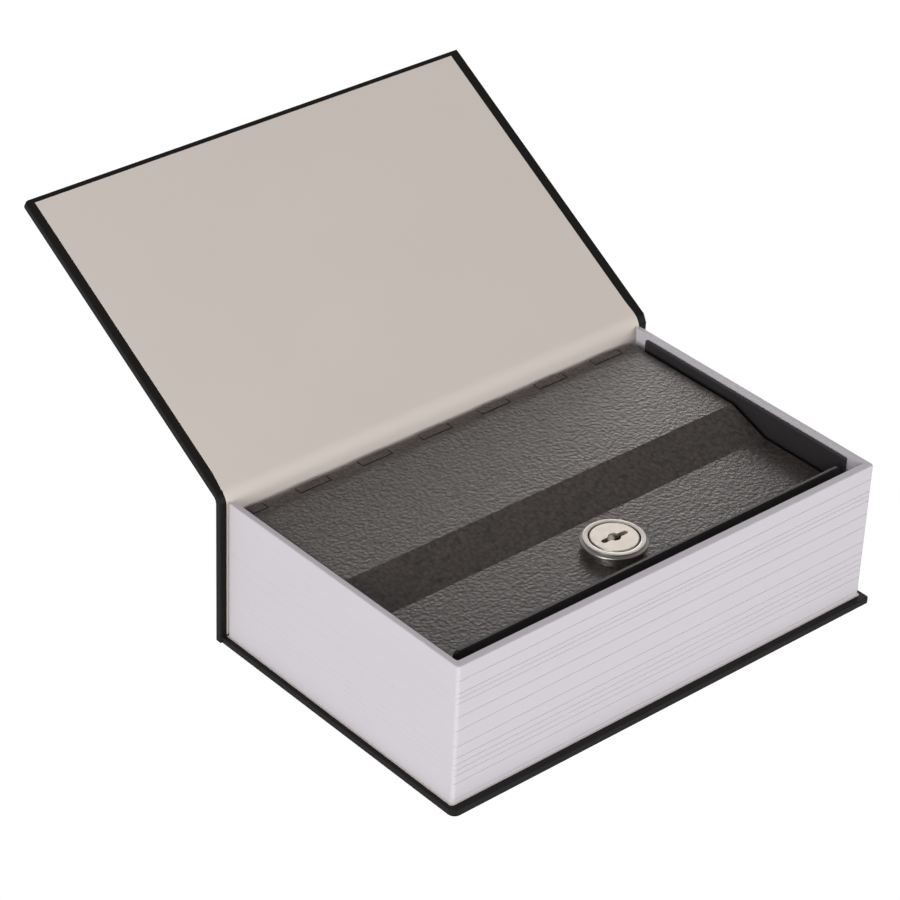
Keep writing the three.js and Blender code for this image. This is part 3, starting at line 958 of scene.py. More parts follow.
@dataclass
class Case:
    """The black wrap of the book with its boards and its lining paper.

    Attributes:
        shop: workshop that makes its pieces.
        wrap: thickness of the wrap.
        board_inset: how far the wrap stands past the back board.
        spine_turn_in: width of the wrap's turn-in inside the spine.
        lower_corners: radii of the lower cover's left and right fore corners.
        upper_corners: radii of the upper cover's left and right fore corners.
        edge: rounding of the wrap's edges.
        edge_segments: number of faces across it.
        flat: angle in degrees up to which two faces of the wrap count as one.
        window_depth: how deep the windows for the papers reach into the wrap's inner face.
        paper_lap: how far the back pastedown laps over the wrap.
        lining_lap: how far the lining laps over the wrap of the upper cover.
        lining_wall: thickness of the lining.
        lining_lift: how far the lining stands in from the cover's inner face.
        lining_foot: gap between the lining's foot and the lower cover.
        lining_sides: places of the lining's ends on X, on the upper cover.
        lining_fore_margin: bare wrap at the upper cover's fore edge.
        lining_rear_margin: bare wrap at the upper cover's rear edge.
        lining_shares: shares of the way across the cover at which the lining is drawn.
        lining_widening: how fast the lining grows to its full length on the cover.
        bend_radius: radius of the lining's bend from the spine to the cover.
        bend_steps: number of steps in the bend.
        bend_lead: straight stretch that is drawn before the bend.
        blend_start: (y, z) from the lining's sharp corner to the place where it starts to follow the cover.
        fold_ease: (y, z) steps from the joint's sharp outer fold that round it.
        joint_angles: angles in degrees at which the joint's inner side follows the lining's bend.
        joint_segments: number of faces across the rounding of the joint's ends.
        joint_lean: lean, in degrees from upright, of a line along the cover; not used.
        joint_slack: how far that line runs past the joint's outer end; not used.
    """

    shop: Workshop
    wrap: float = 0.4
    board_inset: float = 0.7
    spine_turn_in: float = 12.0
    lower_corners: tuple[float, float] = (2.6, 0.9)
    upper_corners: tuple[float, float] = (1.4, 0.6)
    edge: float = 0.3
    edge_segments: int = 3
    flat: float = 1.0
    window_depth: float = 0.1
    paper_lap: float = 0.05
    lining_lap: float = 0.5
    lining_wall: float = 0.2
    lining_lift: float = 0.12
    lining_foot: float = 0.4
    lining_sides: tuple[float, float] = (-86.5, 86.85)
    lining_fore_margin: float = 1.75
    lining_rear_margin: float = 3.0
    lining_shares: tuple[float, ...] = (0.01, 0.05, 0.3, 0.65, 1)
    lining_widening: float = 20.0
    bend_radius: float = 6.0
    bend_steps: int = 10
    bend_lead: float = 1.0
    blend_start: tuple[float, float] = (0.15, -1.98)
    fold_ease: tuple[tuple[float, float], ...] = ((0.0, -0.25), (0.06, -0.06), (0.2, 0.11))
    joint_angles: tuple[float, ...] = (132, 138, 144, 150, 157, 165)
    joint_segments: int = 2
    joint_lean: float = 30.0
    joint_slack: float = 0.09

    def __post_init__(self) -> None:
        """Reads the case's places from the construction model."""
        low, high = span("case_wrap")
        self.spine_left, self.spine_right = low.x, high.x
        self.spine_outer = high.y
        self.spine_top = high.z
        half = span("back_board")[1].x + self.board_inset
        self.lower = CoverOutline(-half, half, low.y, high.y, *self.lower_corners)
        self.panel = span("back_pastedown")[1].z
        self.spine_inner = self.spine_outer - self.panel
        hinge = pivot("cover_swing")
        self.hinge = Vector((0, hinge.y, hinge.z))
        self.open_angle = math.radians(-joint("cover_swing")["range_deg"][0])
        self.swing = Matrix.Translation(self.hinge) @ Matrix.Rotation(-self.open_angle, 4, "X")
        self.closing = self.swing.inverted()
        closed = [self.closing @ (v.co / MM) for v in frame["nodes"]["front_cover_wrap"].data.vertices]
        self.cover_inner = min(point.z for point in closed)
        self.cover_outer = max(point.z for point in closed)
        left, right = (span("front_cover_wrap")[i].x for i in range(2))
        self.upper = CoverOutline(left, right, min(point.y for point in closed), 0, *self.upper_corners)

    def build(self) -> None:
        """Builds and dresses the whole case."""
        self.lower_wrap()
        self.upper_wrap()
        self.wrap_joint()
        self.lining()
        for node in ("back_board", "back_pastedown", "spine_board", "front_board"):
            self.shop.dress(node)

    def lower_wrap(self) -> None:
        """Builds the wrap of the lower cover and the spine."""
        panel = self.lower.solid(0, self.panel)
        spine = cuboid(
            (self.spine_left, self.spine_inner, 0), (self.spine_right, self.spine_outer, self.spine_top)
        )
        body = worked(panel, [spine], Cut.JOIN)
        merge_flat(body, self.flat)
        rim = self.spine_top - NEAR
        soften(
            body,
            lambda e: is_sharp(e) and not both(e, lambda p: p.z > rim),
            self.edge,
            self.edge_segments,
        )
        top = self.panel - self.wrap
        hollow = self.lower.drawn_in(*[self.wrap] * 4).solid(self.wrap, top)
        paper_low, paper_high = span("back_pastedown")
        sides = (
            paper_low.x - self.lower.left,
            self.lower.right - paper_high.x,
            paper_low.y - self.lower.fore,
            self.lower.rear - paper_high.y,
        )
        margins = [side - self.paper_lap for side in sides]
        window = self.lower.drawn_in(*margins).solid(top - self.window_depth, self.panel + OVER)
        left, right, wrap, turn_in = self.spine_left, self.spine_right, self.wrap, self.spine_turn_in
        spine_hollow = cuboid(
            (left + wrap, self.spine_inner + wrap, top + 2 * wrap),
            (right - wrap, self.spine_outer - wrap, self.spine_top - wrap),
        )
        spine_window = cuboid(
            (left + turn_in, self.spine_inner - OVER, self.panel + turn_in),
            (right - turn_in, self.spine_inner + 2 * wrap, self.spine_top - turn_in),
        )
        body = worked(body, [hollow, window, spine_hollow, spine_window])
        made = self.shop.piece("lower_wrap", body, Slot.COVER_PAPER, ["case_wrap"])
        self.shop.even_out(made)
        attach(made, Body.CASE.value)

    def upper_wrap(self) -> None:
        """Builds the wrap of the upper cover, closed, and swings it open."""
        panel = self.upper.solid(self.cover_inner, self.cover_outer)
        soften(
            panel,
            lambda e: is_sharp(e) and not both(e, lambda p: p.y > -NEAR),
            self.edge,
            self.edge_segments,
        )
        inner = self.cover_inner + self.wrap
        hollow = self.upper.drawn_in(*[self.wrap] * 4).solid(inner, self.cover_outer - self.wrap)
        left, right = self.lining_sides
        sides = (
            left - self.upper.left,
            self.upper.right - right,
            self.lining_fore_margin,
            self.lining_rear_margin,
        )
        margins = [side + self.lining_lap for side in sides]
        window = self.upper.drawn_in(*margins).solid(self.cover_inner - OVER, inner + self.window_depth)
        body = worked(panel, [hollow, window])
        bmesh.ops.transform(body, matrix=self.swing, verts=body.verts[:])
        made = self.shop.piece("upper_wrap", body, Slot.COVER_PAPER, ["front_cover_wrap"])
        self.shop.even_out(made)
        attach(made, Body.COVER.value)

    def wrap_joint(self) -> None:
        """Builds the stretch of wrap that bends between the spine and the upper cover."""
        outer_end = self.swing @ Vector((0, 0, self.cover_outer))
        inner_end = self.swing @ Vector((0, 0, self.cover_inner))
        _, along, _ = self.lining_lines()
        fold = outer_end.z - (outer_end.y - self.spine_outer) * along.z / along.y
        outer = [
            (self.spine_outer, self.spine_top),
            *((self.spine_outer + y, fold + z) for y, z in self.fold_ease),
            (outer_end.y, outer_end.z),
        ]
        centre_y, centre_z = self.bend_centre()
        radius = self.bend_radius - 2 * self.lining_wall
        arc = [math.radians(angle) for angle in self.joint_angles]
        inner = [(centre_y + radius * math.cos(a), centre_z + radius * math.sin(a)) for a in arc]
        profile = [*outer, (inner_end.y, inner_end.z), *inner, (self.spine_inner, self.spine_top)]
        body = profile_bar(profile, self.spine_left, self.spine_right)

        def at_free_end(edge: BMEdge) -> bool:
            """Says whether an edge lies on an end of the joint and meets neither spine nor cover.

            Args:
                edge: edge to look at.

            Returns:
                Whether it does.
            """
            at_spine = both(edge, lambda p: p.z < self.spine_top + NEAR)
            at_cover = both(edge, lambda p: (self.closing @ p).y > -NEAR)
            return not (runs_along(edge, 0) or at_spine or at_cover)

        soften(body, at_free_end, self.edge / 2, self.joint_segments)
        made = self.shop.piece("wrap_joint", body, Slot.COVER_PAPER, ["joint_cloth"], crease=50)
        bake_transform(made)

    def lining_lines(self) -> tuple[Vector, Vector, Vector]:
        """Gives the corner that the lining would have without its bend, and the way along the cover.

        Returns:
            The corner, the unit vector along the open cover and the cover's inner normal.
        """
        along = (self.swing.to_3x3() @ Vector((0, -1, 0))).normalized()
        normal = (self.swing.to_3x3() @ Vector((0, 0, -1))).normalized()
        face = self.swing @ Vector((0, 0, self.cover_inner - self.lining_lift))
        liner = span("spine_liner")[1].y
        corner = face + along * ((liner - face.y) / along.y)
        return corner, along, normal

    def bend_centre(self) -> tuple[float, float]:
        """Gives the middle of the lining's bend.

        Returns:
            Its (y, z).
        """
        corner, along, _ = self.lining_lines()
        turn = math.acos(along.z)
        back = self.bend_radius * math.tan(turn / 2)
        return corner.y + self.bend_radius, corner.z - back

    def lining(self) -> None:
        """Builds the paper that runs from behind the page tray over the bend and across the cover."""
        corner, along, normal = self.lining_lines()
        turn = math.acos(along.z)
        back = self.bend_radius * math.tan(turn / 2)
        centre = Vector((0, *self.bend_centre()))
        low, high = span("spine_liner")
        foot_sides = (low.x, high.x)
        path = [(Vector((0, corner.y, self.panel + self.lining_foot)), foot_sides)]
        path.append((Vector((0, corner.y, corner.z - back - self.bend_lead)), foot_sides))
        for step in range(self.bend_steps + 1):
            angle = math.pi - turn * step / self.bend_steps
            swing = Vector((0, math.cos(angle), math.sin(angle)))
            path.append((centre + swing * self.bend_radius, foot_sides))
        reach = -self.upper.fore - self.lining_fore_margin
        rear = self.swing @ Vector((0, 0, self.cover_inner - self.lining_lift))
        start = (path[-1][0] - rear).dot(along)
        for share in self.lining_shares:
            distance = start + (reach - start) * share
            part = min(share * self.lining_widening, 1)
            sides = tuple(foot + (side - foot) * part for foot, side in zip(foot_sides, self.lining_sides))
            path.append((rear + along * distance, sides))
        sheet = bmesh.new()
        bmesh.ops.create_grid(sheet, x_segments=4, y_segments=len(path) - 1, size=0.5)
        for vert in sheet.verts:
            point, (left, right) = path[round((vert.co.y + 0.5) * (len(path) - 1))]
            vert.co = point + Vector((left + (right - left) * (vert.co.x + 0.5), 0, 0))
        bmesh.ops.recalc_face_normals(sheet, faces=sheet.faces[:])
        if sum(face.normal.dot(normal) for face in sheet.faces) < 0:
            bmesh.ops.reverse_faces(sheet, faces=sheet.faces[:])
        body = thickened(sheet, self.lining_wall)
        made = self.shop.piece("lining_sheet", body, Slot.ENDPAPER, ["spine_liner", "front_endpaper"])
        bend_start = corner + Vector((0, *self.blend_start))
        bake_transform(made)


# The page tray


@dataclass
class PageTray:
    """The white tray whose ridged sides stand for the edges of the pages.

    Attributes:
        shop: workshop that makes its piece.
        end_wall: thickness of the walls at the head and the tail.
        fore_wall: thickness of the wall at the fore edge.
        floor: thickness of the floor.
        corner: radius of the fore corners.
        corner_steps: number of steps in a corner.
        foot: chamfer at the foot.
        rim: radius of the outer rim.
        rim_steps: number of steps across it.
        inner_rim: rounding of the inner rim.
        inner_rim_segments: number of faces across it.
        inner_corner: rounding of the upright inner corners.
        inner_corner_segments: number of faces across it.
        line_heights: heights of the deep lines.
        line_depth: depth of a deep line.
        line_half_width: half of a deep line's width.
        line_end_share: share of the depth that the head and the tail show.
        fine_pitch: distance from one fine line to the next.
        fine_depth: depth of a fine line.
        fine_half_width: half of a fine line's width.
        rivets: number of rivets that pass through the floor.
        rivet_gap: room round a rivet.
    """

    shop: Workshop
    end_wall: float = 2.0
    fore_wall: float = 2.8
    floor: float = 2.0
    corner: float = 1.2
    corner_steps: int = 6
    foot: float = 0.25
    rim: float = 0.5
    rim_steps: int = 4
    inner_rim: float = 0.25
    inner_rim_segments: int = 2
    inner_corner: float = 0.75
    inner_corner_segments: int = 4
    line_heights: tuple[float, ...] = (
        4.0, 9.9, 12.8, 14.9, 17.0, 19.4, 23.6, 29.4, 34.3, 39.3, 41.3, 43.0, 47.5,
    )
    line_depth: float = 0.22
    line_half_width: float = 0.17
    line_end_share: float = 0.4
    fine_pitch: float = 1.35
    fine_depth: float = 0.04
    fine_half_width: float = 0.22
    rivets: int = 4
    rivet_gap: float = 0.3

    def __post_init__(self) -> None:
        """Reads the tray's place from the construction model."""
        self.low, self.high = span("page_block")

    def outline(self) -> list[tuple[Vector, Vector]]:
        """Gives the outline seen from above.

        Returns:
            Its points, each with the way in which it moves out.
        """
        x, y0, y1 = self.high.x, self.low.y, self.high.y
        points = [(Vector((x, y1, 0)), Vector((1, 0, 0))), (Vector((-x, y1, 0)), Vector((-1, 0, 0)))]
        for side, first in ((-1, math.pi), (1, 1.5 * math.pi)):
            middle = Vector((side * (x - self.corner), y0 + self.corner, 0))
            for step in range(self.corner_steps + 1):
                angle = first + 0.5 * math.pi * step / self.corner_steps
                way = Vector((math.cos(angle), math.sin(angle), 0))
                points.append((middle + way * self.corner, way))
        return points

    def levels(self) -> list[tuple[float, float]]:
        """Gives the profile of the sides.

        Returns:
            The heights, each with how far the side is drawn in there.
        """
        fine = self.fine_half_width
        result = [(self.low.z, self.foot), (self.low.z + self.foot, 0.0)]
        lines = list(self.line_heights)
        for low, high in zip(lines, lines[1:]):
            result += self.line(low)
            count = max(1, round((high - low) / self.fine_pitch))
            pitch = (high - low) / count
            for i in range(1, count):
                middle = low + i * pitch
                result += [(middle - fine, 0.0), (middle, self.fine_depth), (middle + fine, 0.0)]
        result += self.line(lines[-1])
        for step in range(self.rim_steps + 1):
            angle = 0.5 * math.pi * step / self.rim_steps
            height = self.high.z - self.rim + self.rim * math.sin(angle)
            result.append((height, self.rim * (1 - math.cos(angle))))
        return result

    def line(self, height: float) -> list[tuple[float, float]]:
        """Gives the profile of one deep line, whose bottom is a third as wide as its mouth.

        Args:
            height: height of its middle.

        Returns:
            The heights, each with how far the side is drawn in there.
        """
        half = self.line_half_width
        return [
            (height - half, 0.0),
            (height - half / 3, self.line_depth),
            (height + half / 3, self.line_depth),
            (height + half, 0.0),
        ]

    def build(self) -> None:
        """Builds and dresses the tray."""
        body = self.ridged_block()
        half, fore = self.high.x - self.end_wall, self.low.y + self.fore_wall
        floor = self.low.z + self.floor
        hollow = cuboid((-half, fore, floor), (half, self.high.y + 2 * OVER, self.high.z + 2 * OVER))
        soften(
            hollow,
            lambda e: runs_along(e, 2) and both(e, lambda p: p.y < fore + NEAR),
            self.inner_corner,
            self.inner_corner_segments,
        )
        tools = [hollow]
        for i in range(self.rivets):
            low, high = span(f"box_rivet_{i + 1}")
            middle = (low + high) / 2
            radius = (high.x - low.x) / 2 + self.rivet_gap
            tools.append(round_bar(radius, self.low.z - OVER, floor + OVER, (middle.x, middle.y), sides=32))
        body = worked(body, tools)
        top = self.high.z - NEAR

        def inside(point: Vector) -> bool:
            """Says whether a point lies on the inner rim."""
            return point.z > top and abs(point.x) < half + NEAR and point.y > fore - NEAR

        soften(
            body, lambda e: both(e, inside) and is_sharp(e), self.inner_rim, self.inner_rim_segments
        )
        made = self.shop.piece("page_tray", body, Slot.PAGE_PLASTIC, ["page_block"], crease=40)
        self.shop.even_out(made)
        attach(made, Body.CASE.value)

    def ridged_block(self) -> BMesh:
        """Builds the solid block with its ridged sides.

        Returns:
            The closed solid.
        """
        shape = bmesh.new()
        tag = shape.verts.layers.int.new("corner")
        outline = self.outline()
        ring = []
        for i, (point, _) in enumerate(outline):
            vert = shape.verts.new(point)
            vert[tag] = i
            ring.append(vert)
        edges = list(shape.faces.new(ring).edges)
        rim_start = self.high.z - self.rim - NEAR
        for number, (height, inset) in enumerate(self.levels()):
            share = self.line_end_share if height < rim_start else 1.0
            if number:
                pushed = bmesh.ops.extrude_edge_only(shape, edges=edges)["geom"]
                ring = [item for item in pushed if isinstance(item, bmesh.types.BMVert)]
                edges = [item for item in pushed if isinstance(item, BMEdge)]
            for vert in ring:
                point, way = outline[vert[tag]]
                vert.co = point - Vector((way.x * share, way.y, 0)) * inset
                vert.co.z = height
        bmesh.ops.edgeloop_fill(shape, edges=edges)
        bmesh.ops.recalc_face_normals(shape, faces=shape.faces[:])
        return shape


# The steel box


@dataclass
class HingeRow:
    """The rolled knuckles on the pin, which the box and the lid hold in turns along X.

    Attributes:
        sheet: thickness of the lid's sheet.
        knuckle: outer radius of a knuckle.
        slot_width: width of the slot that a knuckle of the box takes up.
        slot_pitch: distance from one slot to the next.
        slot_shift: place on X of the slot nearest the middle.
        slot_gap: room between a knuckle of the box and the slot's sides.
        slot_reach: how far a slot reaches forward from the pin.
        cut_depth: how deep the lid is cleared below its top, round the knuckles.
        curl: angle in degrees that a roll of the lid turns through.
        curl_steps: number of steps in it.
        box_lead: how far the box's strips reach forward from the pin.
        box_rear: how far they reach back from it.
        rear_lead: how far the lid's sheet reaches back from the pin.
        side_inset: how far the sheet stands in from the lid's sides there.
        end_room: how far the strips stay from the lid's ends.
    """

    sheet: float = 0.8
    knuckle: float = 2.0
    slot_width: float = 12.5
    slot_pitch: float = 25.0
    slot_shift: float = -6.3
    slot_gap: float = 0.4
    slot_reach: float = 2.1
    cut_depth: float = 10.0
    curl: float = 285.0
    curl_steps: int = 20
    box_lead: float = 1.6
    box_rear: float = 1.45
    rear_lead: float = 1.8
    side_inset: float = 0.4
    end_room: float = 1.3

    def __post_init__(self) -> None:
        """Reads the row's places from the construction model."""
        self.half = span("box_lid")[1].x
        self.pin = pivot("lid_swing")
        self.slot_front = self.pin.y - self.slot_reach
        self.rear = self.pin.y + self.rear_lead
        self.top = self.pin.z + self.knuckle

    def slots(self) -> list[tuple[float, float]]:
        """Gives the stretches along X that the box's own knuckles take up, apart from those too narrow.

        Returns:
            The lower and the higher end of each.
        """
        count = math.floor(2 * self.half / self.slot_pitch) + 1
        first = -(count // 2)
        result = []
        for i in range(count):
            middle = self.slot_shift + (first + i) * self.slot_pitch
            low = max(middle - self.slot_width / 2, -self.half)
            high = min(middle + self.slot_width / 2, self.half)
            if high - low > 4 * self.slot_gap:
                result.append((low, high))
        return result

    def box_strips(self) -> list[BMesh]:
        """Gives the flat strips that bring the box's knuckles level with the lid.

        Returns:
            The closed solids.
        """
        front, rear = self.pin.y - self.box_lead, self.pin.y + self.box_rear
        under, gap, most = self.top - self.sheet, self.slot_gap, self.half - self.end_room
        return [
            cuboid((max(low + gap, -most), front, under), (min(high - gap, most), rear, self.top))
            for low, high in self.slots()
        ]

    def lid_cuts(self) -> list[BMesh]:
        """Gives what is cut from the lid at its rear edge: the slots, the ends and all under the sheet.

        Returns:
            The closed solids.
        """
        front, rear, deep = self.slot_front, self.rear + OVER, self.top - self.cut_depth
        side, inner_side = self.half + OVER, self.half - self.side_inset
        spans = [*self.slots(), (-side, -inner_side), (inner_side, side)]
        cuts = [cuboid((low, front, deep), (high, rear, self.top + OVER)) for low, high in spans]
        return [*cuts, cuboid((-side, front, deep), (side, rear, self.top - self.sheet))]

    def turn(self, radius: float, first: float) -> list[Vector]:
        """Gives the points of a turn round the pin, which ends at the roll's end.

        Args:
            radius: radius of the turn.
            first: angle in degrees at which it starts.

        Returns:
            The (y, z) of each point.
        """
        step = (90 - self.curl - first) / self.curl_steps
        angles = [math.radians(first + step * i) for i in range(self.curl_steps + 1)]
        return [self.pin.yz + Vector((math.cos(a), math.sin(a))) * radius for a in angles]

    def lid_rolls(self) -> list[BMesh]:
        """Gives the rolls that hang under the lid's rear edge between the slots.

        Returns:
            The closed solids.
        """
        inner, middle = self.knuckle - self.sheet, self.knuckle - self.sheet / 2
        meeting = math.degrees(math.asin(middle / self.knuckle))
        outline = [(self.pin.y, self.pin.z + middle), *self.turn(self.knuckle, meeting)]
        outline += reversed(self.turn(inner, 90))
        side = self.half - self.side_inset
        bounds = [-side, *(x for slot in self.slots() for x in slot), side]
        return [
            profile_bar(outline, low, high)
            for low, high in zip(bounds[::2], bounds[1::2])
            if high - low > 2 * self.slot_gap
        ]


@dataclass
class SteelBox:
    """The steel box in the tray, its pin and its rivets.

    Attributes:
        shop: workshop that makes its pieces.
        row: row of knuckles that it shares with the lid.
        edge: rounding of its edges.
        edge_angle: angle in degrees past which an edge is rounded.
        edge_segments: number of faces across the rounding.
        room: how far past the knuckles the box is parted from them.
        flat: angle in degrees up to which two of its faces count as one.
        rivets: number of its rivets.
    """

    shop: Workshop
    row: HingeRow
    edge: float = 0.22
    edge_angle: float = 40.0
    edge_segments: int = 2
    room: float = 0.4
    flat: float = 0.5
    rivets: int = 4

    def build(self) -> None:
        """Builds and dresses the box."""
        shape = merged_copy("box_body")
        merge_flat(shape, self.flat)
        pin, roll, half = self.row.pin, self.row.knuckle, self.row.half + self.room
        low = Vector((-half, pin.y - roll - self.room, pin.z - roll - self.room / 2))
        high = Vector((half, pin.y + 2 * roll, pin.z + 2 * roll))
        rolls = worked(shape.copy(), [cuboid(low, high)], Cut.MEET)
        rolls = worked(rolls, self.row.box_strips(), Cut.JOIN)
        shape = worked(shape, [cuboid(low, high)])
        self.finish("steel_box", shape, Slot.BOX_PAINT)
        self.finish("box_knuckles", rolls, Slot.HAMMERED_PAINT)
        for node in ("hinge_pin", *(f"box_rivet_{i + 1}" for i in range(self.rivets))):
            self.shop.dress(node)

    def finish(self, name: str, shape: BMesh, slot: Slot) -> None:
        """Makes a piece of the box with rounded edges.

        Args:
            name: name of the piece.
            shape: its shape, which is used up.
            slot: its material slot.
        """
        made = self.shop.piece(name, shape, slot, ["box_body"])
        rounding = made.modifiers.new("soft_edges", "BEVEL")
        rounding.limit_method = "ANGLE"
        rounding.angle_limit = math.radians(self.edge_angle)
        rounding.width = self.edge * MM
        rounding.segments = self.edge_segments
        self.shop.even_out(made)
        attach(made, Body.CASE.value)


@dataclass
class SteelLid:
    """The stepped lid with its flanges and its rolled knuckles.

    Attributes:
        shop: workshop that makes its piece.
        row: row of knuckles that it shares with the box.
        flange: height of the flanges at its front and its sides.
        front_plateau: depth of the low front part.
        ramp: depth of the ramp between the low and the high part.
        step: height of the ramp.
        bend: radius of the flanges' bends.
        bend_segments: number of faces across it.
        ramp_bend: radius of the ramp's bends.
        ramp_segments: number of faces across it.
        ramp_angles: least and greatest angle in radians between the ramp and the flat parts.
        barrel: radius of the lock's barrel.
        hole_gap: room round the barrel in its hole.
    """

    shop: Workshop
    row: HingeRow
    flange: float = 5.0
    front_plateau: float = 32.3
    ramp: float = 15.4
    step: float = 5.4
    bend: float = 1.1
    bend_segments: int = 5
    ramp_bend: float = 1.4
    ramp_segments: int = 4
    ramp_angles: tuple[float, float] = (0.2, 0.5)
    barrel: float = 8.0
    hole_gap: float = 0.3

    def __post_init__(self) -> None:
        """Reads the lid's places from the construction model."""
        low, high = span("box_lid")
        self.half = high.x
        self.front = low.y
        self.top = high.z
        self.lock = pivot("plug_turn")
        self.ramp_front = self.front + self.front_plateau
        self.ramp_rear = self.ramp_front + self.ramp
        self.low_top = self.top - self.step

    def build(self) -> None:
        """Builds and dresses the lid."""
        skin = self.flat_skin()
        self.add_flanges(skin)
        body = worked(thickened(skin, self.row.sheet), self.row.lid_cuts())
        body = worked(body, self.row.lid_rolls(), Cut.JOIN)
        low, high = self.low_top - 2 * self.flange, self.low_top + 3 * OVER
        bore = round_bar(self.barrel + self.hole_gap, low, high, (self.lock.x, self.lock.y))
        body = worked(body, [bore])
        made = self.shop.piece("steel_lid", body, Slot.HAMMERED_PAINT, ["box_lid"])
        self.shop.even_out(made)
        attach(made, Body.LID.value)

    def flat_skin(self) -> BMesh:
        """Builds the stepped top without its flanges.

        Returns:
            The open surface.
        """
        skin = bmesh.new()
        rear = self.row.rear
        place = Matrix.Translation((0, (self.front + rear) / 2, self.top)) @ Matrix.Diagonal(
            (2 * self.half, rear - self.front, 1, 1)
        )
        bmesh.ops.create_grid(skin, x_segments=1, y_segments=1, size=0.5, matrix=place)
        for y in (self.ramp_front, self.ramp_rear):
            everything = skin.verts[:] + skin.edges[:] + skin.faces[:]
            bmesh.ops.bisect_plane(skin, geom=everything, plane_co=(0, y, 0), plane_no=(0, 1, 0))
        for vert in skin.verts:
            if vert.co.y < self.ramp_front + NEAR:
                vert.co.z = self.low_top
        return skin

    def add_flanges(self, skin: BMesh) -> None:
        """Bends the sides and the front down, and rounds every bend.

        Args:
            skin: the stepped top.
        """

        def outer(edge: BMEdge) -> bool:
            """Says whether an edge lies on a side or at the front."""
            at_side = both(edge, lambda p: abs(p.x) > self.half - NEAR)
            return edge.is_boundary and (at_side or both(edge, lambda p: p.y < self.front + NEAR))

        pushed = bmesh.ops.extrude_edge_only(skin, edges=[e for e in skin.edges if outer(e)])["geom"]
        moved = [item for item in pushed if isinstance(item, bmesh.types.BMVert)]
        bmesh.ops.translate(skin, vec=(0, 0, -self.flange), verts=moved)
        bmesh.ops.recalc_face_normals(skin, faces=skin.faces[:])
        if max(skin.faces, key=lambda f: f.calc_area()).normal.z < 0:
            bmesh.ops.reverse_faces(skin, faces=skin.faces[:])
        soften(skin, is_sharp, self.bend, self.bend_segments)
        least, most = self.ramp_angles

        def at_ramp(edge: BMEdge) -> bool:
            """Says whether an edge is a bend of the ramp."""
            bent = runs_along(edge, 0) and least < edge.calc_face_angle(0) < most
            return bent and both(edge, lambda p: p.y > self.front + self.flange)

        soften(skin, at_ramp, self.ramp_bend, self.ramp_segments)


# The lock


